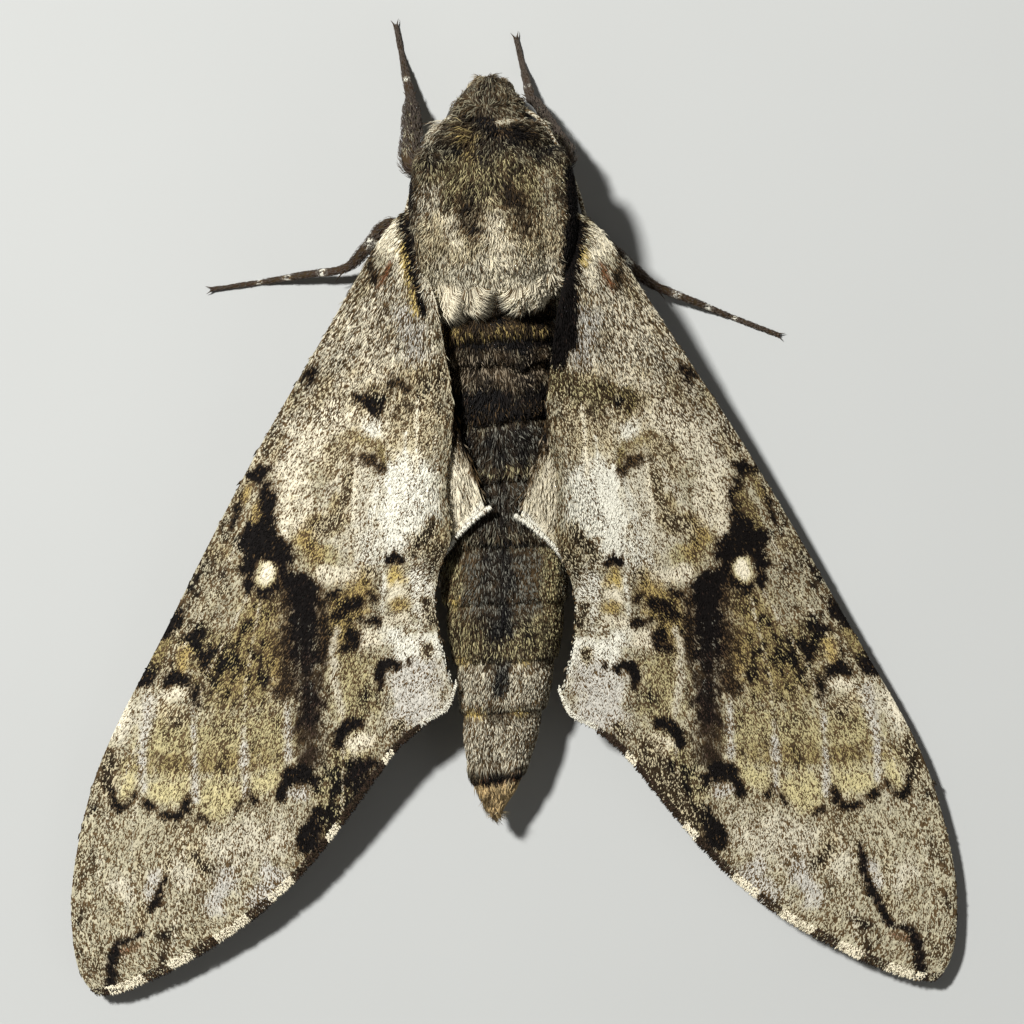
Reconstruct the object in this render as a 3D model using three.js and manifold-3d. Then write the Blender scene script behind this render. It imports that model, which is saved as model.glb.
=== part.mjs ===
// A large hawk moth at rest, life size, in millimetres.
//
// Frame: +Z is up and the moth stands on the plane z = 0. The head points to -Y and the moth's left
// side is +X. The origin lies on the ground under the middle of the whole outline.
//
// The body is one run of oval cross sections along Y, parted into collar, thorax, abdomen segments
// and tail tuft. The wings are sheets on a shared roof-shaped surface. Every limb is a tapered tube
// along a curve. All outlines are the outer ones, out to the tips of the hairs and scales.

import * as THREE from 'three';
import { mergeVertices } from 'three/addons/utils/BufferGeometryUtils.js';
import Module from 'manifold-3d';

const wasm = await Module();
wasm.setup();

// ---- Clearances and sheets ----
const GAP = 0.3; // between neighbouring solids
const MERGE_TOLERANCE = 1e-3;
const WING_THICKNESS = 0.6; // measured straight up
const WING_STEP = 1.0; // the hindwing lies this far under the forewing
const WING_CAMBER = 0.6; // how far a wing bulges between its edges
const WING_STAGGER = 0.35; // the left wings are held this far forward and the right ones back

// ---- Body ----
const NECK_Y = -30.35; // the head ends and the collar begins
const COLLAR_END_Y = -27.4;
const ABDOMEN_JOINTS_Y = [-15.3, -11.4, -7.2, -2.6, 2.5, 7.2, 11.8, 15.8, 20.8];
const TAIL_TIP_Y = 24.0;
const SEGMENT_FLARE = 0.035; // a segment's rear rim stands out by this share of its width

// One row per station: place along Y, half width, top, underside, sideways shift of the middle.
const BODY_STATIONS = [
  { y: -30.6, half: 3.95, top: 12.0, under: 4.6, shift: 0 },
  { y: -28.8, half: 4.9, top: 13.7, under: 3.4, shift: 0 },
  { y: -26.6, half: 5.6, top: 15.3, under: 2.2, shift: 0 },
  { y: -22.5, half: 5.8, top: 16.5, under: 1.6, shift: 0 },
  { y: -18.5, half: 5.5, top: 16.0, under: 1.5, shift: 0 },
  { y: -15.6, half: 5.0, top: 13.9, under: 1.8, shift: 0 },
  { y: -12.5, half: 5.05, top: 12.1, under: 1.8, shift: 0 },
  { y: -5.0, half: 5.3, top: 11.0, under: 1.3, shift: 0 },
  { y: 2.0, half: 5.25, top: 10.2, under: 1.0, shift: 0 },
  { y: 7.5, half: 5.0, top: 9.4, under: 0.9, shift: 0 },
  { y: 11.8, half: 4.25, top: 8.6, under: 1.1, shift: 0.1 },
  { y: 15.8, half: 3.5, top: 7.6, under: 1.7, shift: 0.4 },
  { y: 20.8, half: 2.35, top: 6.2, under: 2.6, shift: 1.0 },
  { y: 24.0, half: 0.5, top: 4.9, under: 3.7, shift: 1.25 },
];

// ---- Head and shoulders, left side ----
const HEAD_CENTRE = [0.1, -30.9, 8.6];
const HEAD_RADII = [2.95, 2.8, 3.5];
const EYE_CENTRE = [1.95, -30.65, 8.2];
const EYE_RADIUS = 1.75;
const EYE_INNER_X = 1.8; // the eye is a cap of its sphere, outside this plane
const TEGULA_CENTRE = [4.9, -22.9, 11.4];
const TEGULA_RADII = [1.9, 5.7, 3.3];
const PALP_ROUTE = [[1.3, -30.9, 4.2], [1.3, -32.5, 4.6], [1.15, -33.3, 6.2], [1.0, -33.5, 8.2]];
const PALP_RADII = [0.6, 0.75, 0.7, 0.45];
const ANTENNA_ROUTE = [
  [1.7, -32.2, 11.0], [2.9, -31.6, 11.2], [3.95, -30.4, 10.9], [5.0, -28.6, 10.2], [6.1, -26.4, 8.6],
  [7.0, -23.6, 7.8], [7.9, -19.0, 7.5], [8.8, -13.0, 7.2], [9.5, -7.0, 7.0], [9.8, -3.6, 6.7],
];
const ANTENNA_RADII = [0.34, 0.34, 0.32, 0.26];

// ---- Proboscis: a flat coil between the palps ----
const COIL_CENTRE = [0, -31.9, 3.1];
const COIL_OUTER_RADIUS = 1.6;
const COIL_INNER_RADIUS = 0.3;
const COIL_TURNS = 1.7;
const COIL_TUBE_RADII = [0.27, 0.27];

// ---- Wing outlines in plan, left side: the four edges of each wing ----
const FOREWING = {
  root: [[6.2, -23.5], [5.6, -19.5], [4.6, -15.6]],
  costa: [
    [6.2, -23.5], [8.5, -21.8], [13.5, -14.2], [18.5, -6.5], [23.1, 1.4], [27.5, 9.5],
    [31.9, 17.5], [34.1, 23.0], [35.5, 29.5], [35.5, 34.6], [34.7, 37.3], [33.1, 38.9],
  ],
  inner: [
    [4.6, -15.6], [3.6, -10.0], [3.1, -6.4], [3.75, -1.6], [3.5, 1.9],
    [4.8, 4.4], [5.3, 7.2], [4.85, 10.8], [3.85, 14.6],
  ],
  margin: [
    [33.1, 38.9], [30.2, 38.3], [25.0, 35.9], [20.1, 32.8], [15.8, 28.9],
    [12.2, 24.4], [8.8, 19.8], [6.6, 17.9], [4.6, 16.6], [3.85, 14.6],
  ],
};
const HINDWING = {
  root: [[6.4, -17.0], [5.5, -15.8], [5.0, -14.2]],
  costa: [[6.4, -17.0], [12.2, -9.0], [17.0, 2.0], [18.5, 9.0]],
  inner: [[5.0, -14.2], [3.2, -6.6], [1.8, -3.4], [1.05, -0.9], [1.6, 1.2], [3.0, 3.4]],
  margin: [[18.5, 9.0], [14.0, 12.0], [8.6, 8.2], [4.6, 4.0], [3.0, 3.4]],
};

// ---- Heights of the roof that the wings form, along Y ----
const RIDGE_X = 4; // the ridge heights are taken this far from the middle
const RIDGE_HEIGHTS = [
  [-24, 12.6], [-15, 13.0], [-10, 12.3], [-4, 11.7], [2, 11.0],
  [6, 9.4], [10, 8.1], [15, 7.1], [26, 5.2], [39, 2.9],
];
const COSTA_HEIGHTS = [[-23, 11.2], [-17, 8.8], [-9, 5.8], [0, 4.0], [10, 3.0], [20, 2.4], [39, 2.0]];
const COSTA_REACH = [
  [-23, 7.7], [-17.4, 12.4], [-8.9, 17.3], [0.5, 22.5], [9.9, 27.6], [18, 31.8], [26, 34.6], [39, 35.4],
];

// ---- Legs: hip, knee, ankle and tip of each, and the radii there ----
const TARSUS_AXIS_Z = 0.24; // height of a tarsus's axis where it lies on the ground
const LEG_BOW = 0.02; // a femur or tibia bows up by this share of its length
const SLIM_LEG_RADII = [0.85, 0.65, 0.4, 0.28];
const LEGS = {
  foreleg_left: {
    hip: [2.0, -26.3, 4.2], knee: [6.35, -27.7, 6.6], ankle: [6.5, -33.3, 2.2], tip: [7.6, -39.6],
    radii: [0.9, 0.85, 0.45, 0.28],
  },
  foreleg_right: {
    hip: [-2.0, -26.3, 4.2], knee: [-5.7, -27.9, 6.4], ankle: [-3.2, -33.1, 2.1], tip: [-2.1, -38.3],
    radii: [0.9, 0.75, 0.42, 0.28],
  },
  midleg_left: {
    hip: [2.4, -20.6, 2.8], knee: [8.3, -22.9, 6.0], ankle: [12.1, -19.9, 2.3], tip: [23.2, -18.6],
    radii: SLIM_LEG_RADII,
  },
  midleg_right: {
    hip: [-2.4, -20.6, 2.8], knee: [-8.6, -20.7, 5.9], ankle: [-12.7, -17.8, 2.3], tip: [-22.8, -13.6],
    radii: SLIM_LEG_RADII,
  },
  hindleg_left: {
    hip: [2.4, -15.9, 3.0], knee: [8.4, -10.4, 4.7], ankle: [11.4, -1.6, 2.2], tip: [14.8, 9.6],
    radii: SLIM_LEG_RADII,
  },
  hindleg_right: {
    hip: [-2.4, -15.9, 3.0], knee: [-8.4, -10.4, 4.7], ankle: [-11.7, -1.8, 2.2], tip: [-15.5, 9.0],
    radii: SLIM_LEG_RADII,
  },
};

// ---- Finishes ----
const FINISHES = {
  forewingScales: { color: 0x8f8468, roughness: 0.9, metalness: 0 },
  hindwingScales: { color: 0xa89c80, roughness: 0.9, metalness: 0 },
  thoraxHair: { color: 0x7d7356, roughness: 0.95, metalness: 0 },
  collarHair: { color: 0x4f4936, roughness: 0.95, metalness: 0 },
  headHair: { color: 0x5d574a, roughness: 0.95, metalness: 0 },
  abdomenHair: { color: 0x4a453b, roughness: 0.95, metalness: 0 },
  tailHair: { color: 0x6a5535, roughness: 0.95, metalness: 0 },
  legScales: { color: 0x4d423a, roughness: 0.85, metalness: 0 },
  antennaScales: { color: 0xb9ab8c, roughness: 0.8, metalness: 0 },
  eyeLens: { color: 0x17120d, roughness: 0.2, metalness: 0 },
  tongue: { color: 0x4a2c16, roughness: 0.5, metalness: 0 },
};

// ---- Helpers: numbers and curves ----

// A smooth curve through [place, value] rows.
function valueAt(rows, place) {
  const last = rows.length - 1;
  const inside = THREE.MathUtils.clamp(place, rows[0][0], rows[last][0]);
  const i = Math.max(rows.findIndex((row) => row[0] >= inside) - 1, 0);
  const slopeAt = (k) => {
    const before = rows[Math.max(k - 1, 0)];
    const after = rows[Math.min(k + 1, last)];
    return (after[1] - before[1]) / (after[0] - before[0]);
  };
  const span = rows[i + 1][0] - rows[i][0];
  const t = (inside - rows[i][0]) / span;
  const endShare = t * t * (3 - 2 * t);
  return THREE.MathUtils.lerp(rows[i][1], rows[i + 1][1], endShare)
    + slopeAt(i) * span * t * (1 - t) ** 2
    - slopeAt(i + 1) * span * t * t * (1 - t);
}

const BODY_PROFILES = Object.fromEntries(['half', 'top', 'under', 'shift'].map(
  (key) => [key, BODY_STATIONS.map((row) => [row.y, row[key]])],
));

const curve3 = (points) => new THREE.CatmullRomCurve3(points.map((p) => new THREE.Vector3(...p)));
const curve2 = (points) => new THREE.SplineCurve(points.map((p) => new THREE.Vector2(...p)));

// ---- Helpers: geometry and solids ----

// Moves every vertex of a three.js geometry by a function, and leaves only shared positions.
function reshape(geometry, place) {
  geometry.deleteAttribute('normal');
  geometry.deleteAttribute('uv');
  const merged = mergeVertices(geometry, MERGE_TOLERANCE);
  const position = merged.getAttribute('position');
  const vertex = new THREE.Vector3();
  for (let i = 0; i < position.count; i += 1) {
    const moved = place(vertex.fromBufferAttribute(position, i));
    position.setXYZ(i, moved.x, moved.y, moved.z);
  }
  return merged;
}

function toSolid(geometry) {
  return new wasm.Manifold(new wasm.Mesh({
    numProp: 3,
    vertProperties: new Float32Array(geometry.getAttribute('position').array),
    triVerts: new Uint32Array(geometry.getIndex().array),
  }));
}

function toGeometry(solid) {
  const mesh = solid.getMesh();
  const geometry = new THREE.BufferGeometry();
  geometry.setAttribute('position', new THREE.BufferAttribute(mesh.vertProperties, 3));
  geometry.setIndex(new THREE.BufferAttribute(mesh.triVerts, 1));
  return geometry;
}

// The same solid on the other side of the plane x = 0, its faces turned to point out again.
function mirrored(solid) {
  const geometry = toGeometry(solid);
  const position = geometry.getAttribute('position');
  for (let i = 0; i < position.count; i += 1) position.setX(i, -position.getX(i));
  const index = geometry.getIndex();
  for (let i = 0; i < index.count; i += 3) {
    const first = index.getX(i);
    index.setX(i, index.getX(i + 1));
    index.setX(i + 1, first);
  }
  return toSolid(geometry);
}

// Cuts the tools out of a solid and keeps its largest remaining piece.
function carve(solid, tools) {
  const rest = tools.reduce((left, tool) => left.subtract(tool), solid);
  return rest.decompose().sort((a, b) => b.volume() - a.volume())[0];
}

function block(low, high) {
  const box = new THREE.BoxGeometry(1, 1, 1);
  return toSolid(reshape(box, (v) => new THREE.Vector3(
    THREE.MathUtils.lerp(low[0], high[0], v.x + 0.5),
    THREE.MathUtils.lerp(low[1], high[1], v.y + 0.5),
    THREE.MathUtils.lerp(low[2], high[2], v.z + 0.5),
  )));
}

function ellipsoid(centre, radii, grow = 0, sides = 16, rings = 10) {
  const ball = new THREE.SphereGeometry(1, sides, rings);
  return toSolid(reshape(ball, (v) => new THREE.Vector3(
    centre[0] + v.x * (radii[0] + grow),
    centre[1] + v.y * (radii[1] + grow),
    centre[2] + v.z * (radii[2] + grow),
  )));
}

// A length of the body between two places along Y. The flare widens it towards its rear.
function bodyPiece(from, to, rings, grow = 0, flare = 0, sides = 20) {
  const drum = new THREE.CylinderGeometry(1, 1, 1, sides, rings);
  return toSolid(reshape(drum, (v) => {
    const y = THREE.MathUtils.lerp(from, to, v.y + 0.5);
    const half = valueAt(BODY_PROFILES.half, y);
    const top = valueAt(BODY_PROFILES.top, y);
    const under = valueAt(BODY_PROFILES.under, y);
    const swell = 1 + flare * v.y;
    return new THREE.Vector3(
      valueAt(BODY_PROFILES.shift, y) + v.x * (half * swell + grow),
      y,
      (top + under) / 2 + v.z * ((top - under) / 2 * swell + grow),
    );
  }));
}

// A tapered tube along part of a curve. Its radii are spread evenly over the whole curve.
function limb(curve, radii, { from = 0, to = 1, rings = 6, sides = 8, grow = 0 } = {}) {
  const frames = curve.computeFrenetFrames(rings, false);
  const radiusRows = radii.map((radius, i) => [i / (radii.length - 1), radius]);
  const drum = new THREE.CylinderGeometry(1, 1, 1, sides, rings);
  return toSolid(reshape(drum, (v) => {
    const step = Math.round((v.y + 0.5) * rings);
    const share = THREE.MathUtils.lerp(from, to, step / rings);
    const radius = valueAt(radiusRows, share) + grow;
    return curve.getPointAt(share)
      .addScaledVector(frames.binormals[step], v.x * radius)
      .addScaledVector(frames.normals[step], v.z * radius);
  }));
}

// ---- Body, head and shoulders ----

const halfGap = GAP / 2;
const thorax = bodyPiece(COLLAR_END_Y + halfGap, ABDOMEN_JOINTS_Y[0] - halfGap, 7);
const roomForThorax = bodyPiece(COLLAR_END_Y, ABDOMEN_JOINTS_Y[0] + halfGap, 8, GAP);
const roomForBody = bodyPiece(NECK_Y, ABDOMEN_JOINTS_Y[6], 24, GAP, 0, 24);

function eyeCap(grow) {
  const ball = ellipsoid(EYE_CENTRE, [EYE_RADIUS, EYE_RADIUS, EYE_RADIUS], grow);
  const inside = block([-9, -40, 0], [EYE_INNER_X - grow, -20, 20]);
  return ball.subtract(inside);
}

const antennaCurve = curve3(ANTENNA_ROUTE);
const roomForHead = ellipsoid(HEAD_CENTRE, HEAD_RADII, GAP);
const antenna = carve(limb(antennaCurve, ANTENNA_RADII, { rings: 20, sides: 6 }), [roomForHead]);
const roomForAntenna = limb(antennaCurve, ANTENNA_RADII, { to: 0.3, rings: 8, grow: GAP });
const roomForEye = eyeCap(GAP);

const behindNeck = block([-9, NECK_Y - halfGap, 0], [9, -20, 20]);
const headTools = [behindNeck, roomForEye, mirrored(roomForEye), roomForAntenna, mirrored(roomForAntenna)];
const head = carve(ellipsoid(HEAD_CENTRE, HEAD_RADII), headTools);
const collarTools = [roomForEye, mirrored(roomForEye), roomForAntenna, mirrored(roomForAntenna)];
const collar = carve(bodyPiece(NECK_Y + halfGap, COLLAR_END_Y - halfGap, 3), collarTools);
const roomForCollar = bodyPiece(NECK_Y, COLLAR_END_Y + halfGap, 4, GAP);

const tegula = carve(ellipsoid(TEGULA_CENTRE, TEGULA_RADII), [roomForThorax, roomForCollar, roomForAntenna]);
const roomForTegula = ellipsoid(TEGULA_CENTRE, TEGULA_RADII, GAP);
const palp = carve(limb(curve3(PALP_ROUTE), PALP_RADII, { rings: 6 }), [roomForHead]);

function coil() {
  const steps = 24;
  const points = Array.from({ length: steps + 1 }, (_, i) => {
    const share = i / steps;
    const radius = THREE.MathUtils.lerp(COIL_OUTER_RADIUS, COIL_INNER_RADIUS, share);
    const angle = share * COIL_TURNS * 2 * Math.PI;
    return [COIL_CENTRE[0], COIL_CENTRE[1] + radius * Math.sin(angle), COIL_CENTRE[2] + radius * Math.cos(angle)];
  });
  return limb(curve3(points), COIL_TUBE_RADII, { rings: 22, sides: 6 });
}

// ---- Wings ----

// Height of the wings' middle surface at a place in plan: a ridge by the body, low leading edges.
function roofHeight(x, y) {
  const ridge = valueAt(RIDGE_HEIGHTS, y);
  const edge = valueAt(COSTA_HEIGHTS, y);
  const share = (x - RIDGE_X) / (valueAt(COSTA_REACH, y) - RIDGE_X);
  const bulge = WING_CAMBER * Math.sin(Math.PI * THREE.MathUtils.clamp(share, 0, 1));
  return THREE.MathUtils.lerp(ridge, edge, share) + bulge;
}

// A sheet stretched between four edge curves. Lengthwise it runs from the root to the outer margin,
// and across from the leading edge to the inner one.
function wingSheet(outline, stagger, lengthwise, across, drop = 0) {
  const root = curve2(outline.root);
  const costa = curve2(outline.costa);
  const inner = curve2(outline.inner);
  const margin = curve2(outline.margin);
  const corner = (curve, end) => curve.getPoint(end);
  const sheet = new THREE.BoxGeometry(1, 1, 1, lengthwise, across, 1);
  return toSolid(reshape(sheet, (v) => {
    const s = v.x + 0.5;
    const t = v.y + 0.5;
    const plan = costa.getPointAt(s).multiplyScalar(1 - t)
      .addScaledVector(inner.getPointAt(s), t)
      .addScaledVector(root.getPointAt(t), 1 - s)
      .addScaledVector(margin.getPointAt(t), s)
      .addScaledVector(corner(costa, 0), -(1 - s) * (1 - t))
      .addScaledVector(corner(costa, 1), -s * (1 - t))
      .addScaledVector(corner(inner, 0), -(1 - s) * t)
      .addScaledVector(corner(inner, 1), -s * t);
    const height = roofHeight(plan.x, plan.y) - drop;
    return new THREE.Vector3(plan.x, plan.y + stagger, height + v.z * WING_THICKNESS);
  }));
}

const forewing = (stagger) => carve(wingSheet(FOREWING, stagger, 24, 7), [roomForBody, roomForTegula]);
const hindwing = (stagger) => carve(wingSheet(HINDWING, stagger, 12, 6, WING_STEP), [roomForBody]);

// ---- Legs ----

const underGround = block([-60, -60, -5], [60, 60, 0]);

// The last stretch of a leg: down from the ankle to the ground, then flat along it to the tip.
function tarsusCurve(ankle, tip) {
  const along = (share, z) => [
    THREE.MathUtils.lerp(ankle[0], tip[0], share),
    THREE.MathUtils.lerp(ankle[1], tip[1], share),
    z,
  ];
  return curve3([
    ankle, along(0.3, ankle[2] * 0.55), along(0.6, TARSUS_AXIS_Z), along(0.8, TARSUS_AXIS_Z), along(1, TARSUS_AXIS_Z),
  ]);
}

// A slightly bowed part of a leg whose ends stop short of the joints by half the gap.
function legPart(start, end, radii, rings, grow = 0) {
  const length = new THREE.Vector3(...start).distanceTo(new THREE.Vector3(...end));
  const trim = halfGap / length;
  const bow = new THREE.Vector3(...start).lerp(new THREE.Vector3(...end), 0.5);
  bow.z += length * LEG_BOW;
  return limb(curve3([start, bow.toArray(), end]), radii, { from: trim, to: 1 - trim, rings, grow });
}

function legSolids({ hip, knee, ankle, tip, radii: [atHip, atKnee, atAnkle, atTip] }) {
  const run = tarsusCurve(ankle, tip);
  const trim = GAP / run.getLength();
  const femurRadii = [atHip, atHip, atKnee];
  const roomForFemur = legPart(hip, knee, femurRadii, 4, GAP);
  const tibia = legPart(knee, ankle, [atKnee, atKnee * 0.95, atAnkle], 5);
  return {
    femur: carve(legPart(hip, knee, femurRadii, 4), [roomForBody]),
    tibia: carve(tibia, [roomForBody, roomForFemur]),
    tarsus: carve(limb(run, [atAnkle * 0.9, atTip, atTip], { from: trim, rings: 8 }), [underGround]),
  };
}

// ---- The moth ----

const moth = new THREE.Group();

function addPart(name, solid, look) {
  const mesh = new THREE.Mesh(toGeometry(solid), new THREE.MeshStandardMaterial(FINISHES[look]));
  mesh.name = name;
  moth.add(mesh);
}

function addPair(name, leftSolid, look) {
  addPart(`${name}_left`, leftSolid, look);
  addPart(`${name}_right`, mirrored(leftSolid), look);
}

addPart('head', head, 'headHair');
addPair('palp', palp, 'headHair');
addPart('proboscis', coil(), 'tongue');
addPair('eye', eyeCap(0), 'eyeLens');
addPair('antenna', antenna, 'antennaScales');
addPart('collar', collar, 'collarHair');
addPart('thorax', thorax, 'thoraxHair');
addPair('tegula', tegula, 'thoraxHair');

for (let i = 0; i < ABDOMEN_JOINTS_Y.length - 1; i += 1) {
  const from = ABDOMEN_JOINTS_Y[i] + halfGap;
  const to = ABDOMEN_JOINTS_Y[i + 1] - halfGap;
  addPart(`abdomen_${i + 1}`, bodyPiece(from, to, 2, 0, SEGMENT_FLARE), 'abdomenHair');
}
addPart('tail_tuft', bodyPiece(ABDOMEN_JOINTS_Y.at(-1) + halfGap, TAIL_TIP_Y, 3), 'tailHair');

for (const [leg, measures] of Object.entries(LEGS)) {
  for (const [part, solid] of Object.entries(legSolids(measures))) {
    addPart(`${leg}_${part}`, solid, 'legScales');
  }
}

addPart('forewing_left', forewing(-WING_STAGGER), 'forewingScales');
addPart('forewing_right', mirrored(forewing(WING_STAGGER)), 'forewingScales');
addPart('hindwing_left', hindwing(-WING_STAGGER), 'hindwingScales');
addPart('hindwing_right', mirrored(hindwing(WING_STAGGER)), 'hindwingScales');

export default moth;
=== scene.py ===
"""A hawk moth at rest, life size: its skin, its coat of tufts, its wings and limbs, and the stage."""

import math

import bmesh
import bpy
import numpy as np
from bpy.props import FloatProperty, FloatVectorProperty, IntProperty, PointerProperty
from mathutils import Matrix, Vector


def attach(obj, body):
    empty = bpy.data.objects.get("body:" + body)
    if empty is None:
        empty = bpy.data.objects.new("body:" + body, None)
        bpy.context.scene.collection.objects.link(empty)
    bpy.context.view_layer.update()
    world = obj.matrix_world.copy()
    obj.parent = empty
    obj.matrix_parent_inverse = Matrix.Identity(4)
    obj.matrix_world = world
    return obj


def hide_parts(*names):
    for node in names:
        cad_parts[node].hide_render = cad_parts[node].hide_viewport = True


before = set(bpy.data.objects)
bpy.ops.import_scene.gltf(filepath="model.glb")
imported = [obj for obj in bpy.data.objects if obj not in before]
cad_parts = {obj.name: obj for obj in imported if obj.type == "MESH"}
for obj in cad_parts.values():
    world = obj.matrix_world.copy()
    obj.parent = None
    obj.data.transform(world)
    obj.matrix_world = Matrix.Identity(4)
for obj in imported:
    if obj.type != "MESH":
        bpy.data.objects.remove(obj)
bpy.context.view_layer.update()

bl_info = {
    "name": "Hawk moth",
    "version": (1, 0, 0),
    "blender": (4, 5, 0),
    "location": "3D View > Sidebar > Moth",
    "description": "Builds the coat, wings, limbs and stage of a resting hawk moth around its packed solids",
    "category": "Add Mesh",
}

# ---- Measures, in millimetres unless a name says otherwise. +X is the moth's left, -Y its front ----

MM = 0.001
PATCH = 0.003  # side of a tuft's patch on its bake map
SEED = 26
WING_STAGGER = 0.35
HINDWING_DROP = 1.0
RIDGE_X = 4.0
WING_CAMBER = 0.6
RIDGE_HEIGHTS = (
    (-24, 12.6), (-15, 13.0), (-10, 12.3), (-4, 11.7), (2, 11.0),
    (6, 9.4), (10, 8.1), (15, 7.1), (26, 5.2), (39, 2.9),
)
COSTA_HEIGHTS = ((-23, 11.2), (-17, 8.8), (-9, 5.8), (0, 4.0), (10, 3.0), (20, 2.4), (39, 2.0))
COSTA_REACH = (
    (-23, 7.7), (-17.4, 12.4), (-8.9, 17.3), (0.5, 22.5),
    (9.9, 27.6), (18, 31.8), (26, 34.6), (39, 35.4),
)
FOREWING = {
    "root": ((6.2, -23.5), (5.6, -19.5), (4.6, -15.6)),
    "costa": (
        (6.2, -23.5), (8.5, -21.8), (13.5, -14.2), (18.5, -6.5), (23.1, 1.4), (27.5, 9.5),
        (31.9, 17.5), (34.1, 23.0), (35.5, 29.5), (35.5, 34.6), (34.7, 37.3), (33.1, 38.9),
    ),
    "inner": (
        (4.6, -15.6), (3.7, -10), (3.5, -6.4), (4.2, -2), (3.9, 1.9),
        (4.8, 4.4), (5.3, 7.2), (4.85, 10.8), (3.85, 14.6),
    ),
    "margin": (
        (33.1, 38.9), (30.2, 38.3), (25, 35.9), (20.1, 32.8), (15.8, 28.9),
        (12.2, 24.4), (8.8, 19.8), (6.6, 17.9), (4.6, 16.6), (3.85, 14.6),
    ),
}
HINDWING = {
    "root": ((6.4, -17), (5.5, -15.8), (5, -14.2)),
    "costa": ((6.4, -17), (12.2, -9), (17, 2), (18.5, 9)),
    "inner": ((5, -14.2), (3.2, -6.6), (2.0, -3.2), (0.9, 0.2)),
    "margin": ((18.5, 9), (14, 12), (8.6, 8.2), (5, 4), (3.6, 2.4), (2.4, 1.3), (0.9, 0.2)),
}
FOREWING_VEINS = (
    ((6.8, -21), (14, -9.8), (20, -0.1), (24, 7.5), (28.2, 14.5), (32.4, 24), (34.2, 33)),
    ((22.5, 5), (27.5, 13), (29.4, 18), (30.6, 27), (31.5, 36)),
    ((20.5, 6.5), (24.4, 13.5), (25.3, 20), (26.5, 28), (27.7, 36)),
    ((19.5, 7), (20.9, 13.5), (21.1, 20), (21.6, 27), (22.6, 33.8)),
    ((18, 7.5), (17.6, 14), (17.7, 19), (17.4, 25), (17.5, 29.8)),
    ((15, 6.5), (13.8, 11.5), (13.2, 16), (13.3, 21), (13.6, 25)),
    ((7.5, -13), (9.3, -2.5), (10.4, 3), (9.6, 8), (9.3, 13), (9.3, 19)),
    ((5.6, -13), (5.0, -4), (6.4, 4), (6.6, 10), (5.9, 16)),
)
ABDOMEN_JOINTS_Y = (-15.3, -11.4, -7.2, -2.6, 2.5, 7.2, 11.8, 15.8, 20.8)
BODY_MIDDLE = (  # y of a place on the body's middle line, then its x and z
    (-36, 0, 8.6), (-30, 0, 8.6), (-20, 0, 8.9), (0, 0, 5.7), (12, 0.1, 4.8), (20, 0.9, 4.4), (25, 1.3, 4.3),
)
TAIL_TIP_Y = 24.0
HEAD_TIP_Y = -33.9
EYE_CENTRE = (1.95, -30.65, 8.2)
EYE_RADIUS = 1.72
ANTENNA_ROUTE = (
    (1.6, -31.6, 9.9), (2.7, -31.3, 10.2), (3.9, -30.4, 10.2), (5.0, -28.6, 9.9), (6.1, -26.4, 8.6),
    (7.0, -23.6, 7.8), (7.9, -19, 7.5), (8.8, -13, 7.2), (9.5, -7, 7.0), (9.8, -3.6, 6.7),
)
COIL_CENTRE = (0, -31.9, 3.1)
COIL_OUTER_RADIUS = 1.6
COIL_INNER_RADIUS = 0.3
COIL_TURNS = 1.7
TARSUS_AXIS_Z = 0.24
SLIM_LEG_RADII = (0.85, 0.65, 0.4, 0.26)
LEGS = {  # hip, knee, ankle and tip, then the radii there
    "foreleg_left": (
        (2, -26.3, 4.2), (6.35, -27.7, 6.6), (6.5, -33.3, 2.2), (7.6, -39.6, TARSUS_AXIS_Z),
        (0.9, 0.85, 0.45, 0.26),
    ),
    "foreleg_right": (
        (-2, -26.3, 4.2), (-5.7, -27.9, 6.4), (-3.2, -33.1, 2.1), (-2.1, -38.3, TARSUS_AXIS_Z),
        (0.9, 0.75, 0.42, 0.26),
    ),
    "midleg_left": (
        (2.4, -20.6, 2.8), (8.3, -22.9, 6.0), (12.1, -19.9, 2.3), (23.2, -18.6, TARSUS_AXIS_Z),
        SLIM_LEG_RADII,
    ),
    "midleg_right": (
        (-2.4, -20.6, 2.8), (-8.6, -20.7, 5.9), (-12.7, -17.8, 2.3), (-22.8, -13.6, TARSUS_AXIS_Z),
        SLIM_LEG_RADII,
    ),
    "hindleg_left": (
        (2.4, -15.9, 3.0), (8.4, -10.4, 4.7), (11.4, -1.6, 2.2), (14.8, 9.6, TARSUS_AXIS_Z),
        SLIM_LEG_RADII,
    ),
    "hindleg_right": (
        (-2.4, -15.9, 3.0), (-8.4, -10.4, 4.7), (-11.7, -1.8, 2.2), (-15.5, 9.0, TARSUS_AXIS_Z),
        SLIM_LEG_RADII,
    ),
}
FLESH_NODES = (
    "head", "palp_left", "palp_right", "collar", "thorax", "tegula_left", "tegula_right",
    *(f"abdomen_{number}" for number in range(1, len(ABDOMEN_JOINTS_Y))), "tail_tuft",
)
CAMERA_PLACE = (-0.72, 0.1, 300)
CAMERA_TURN = 178.4  # degrees about the vertical
SENSOR_WIDTH = 36.0
CAMERA_LENS = SENSOR_WIDTH * 296 / 81.92  # the sensor takes in 81.92 mm at a distance of 296 mm
KEY_LIGHT_PLACE = (0.235, -0.20, 0.55)  # in metres, like the other measures of the lights and the floor
KEY_LIGHT_SIZE = 0.06
SIDE_LIGHT_PLACE = (-0.42, 0.30, 0.40)
SIDE_LIGHT_SIZE = 0.40
SIDE_LIGHT_SHARE = 0.04  # of the key light's power
FLOOR_HALF_SIZE = 2.5

# ---- The pattern ----

# A mark is (colour of its pale scales, share of dark scales, softness of its rim, stroke), and a stroke is a
# chain of (x, y, radius). Later marks lie over earlier ones.

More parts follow.
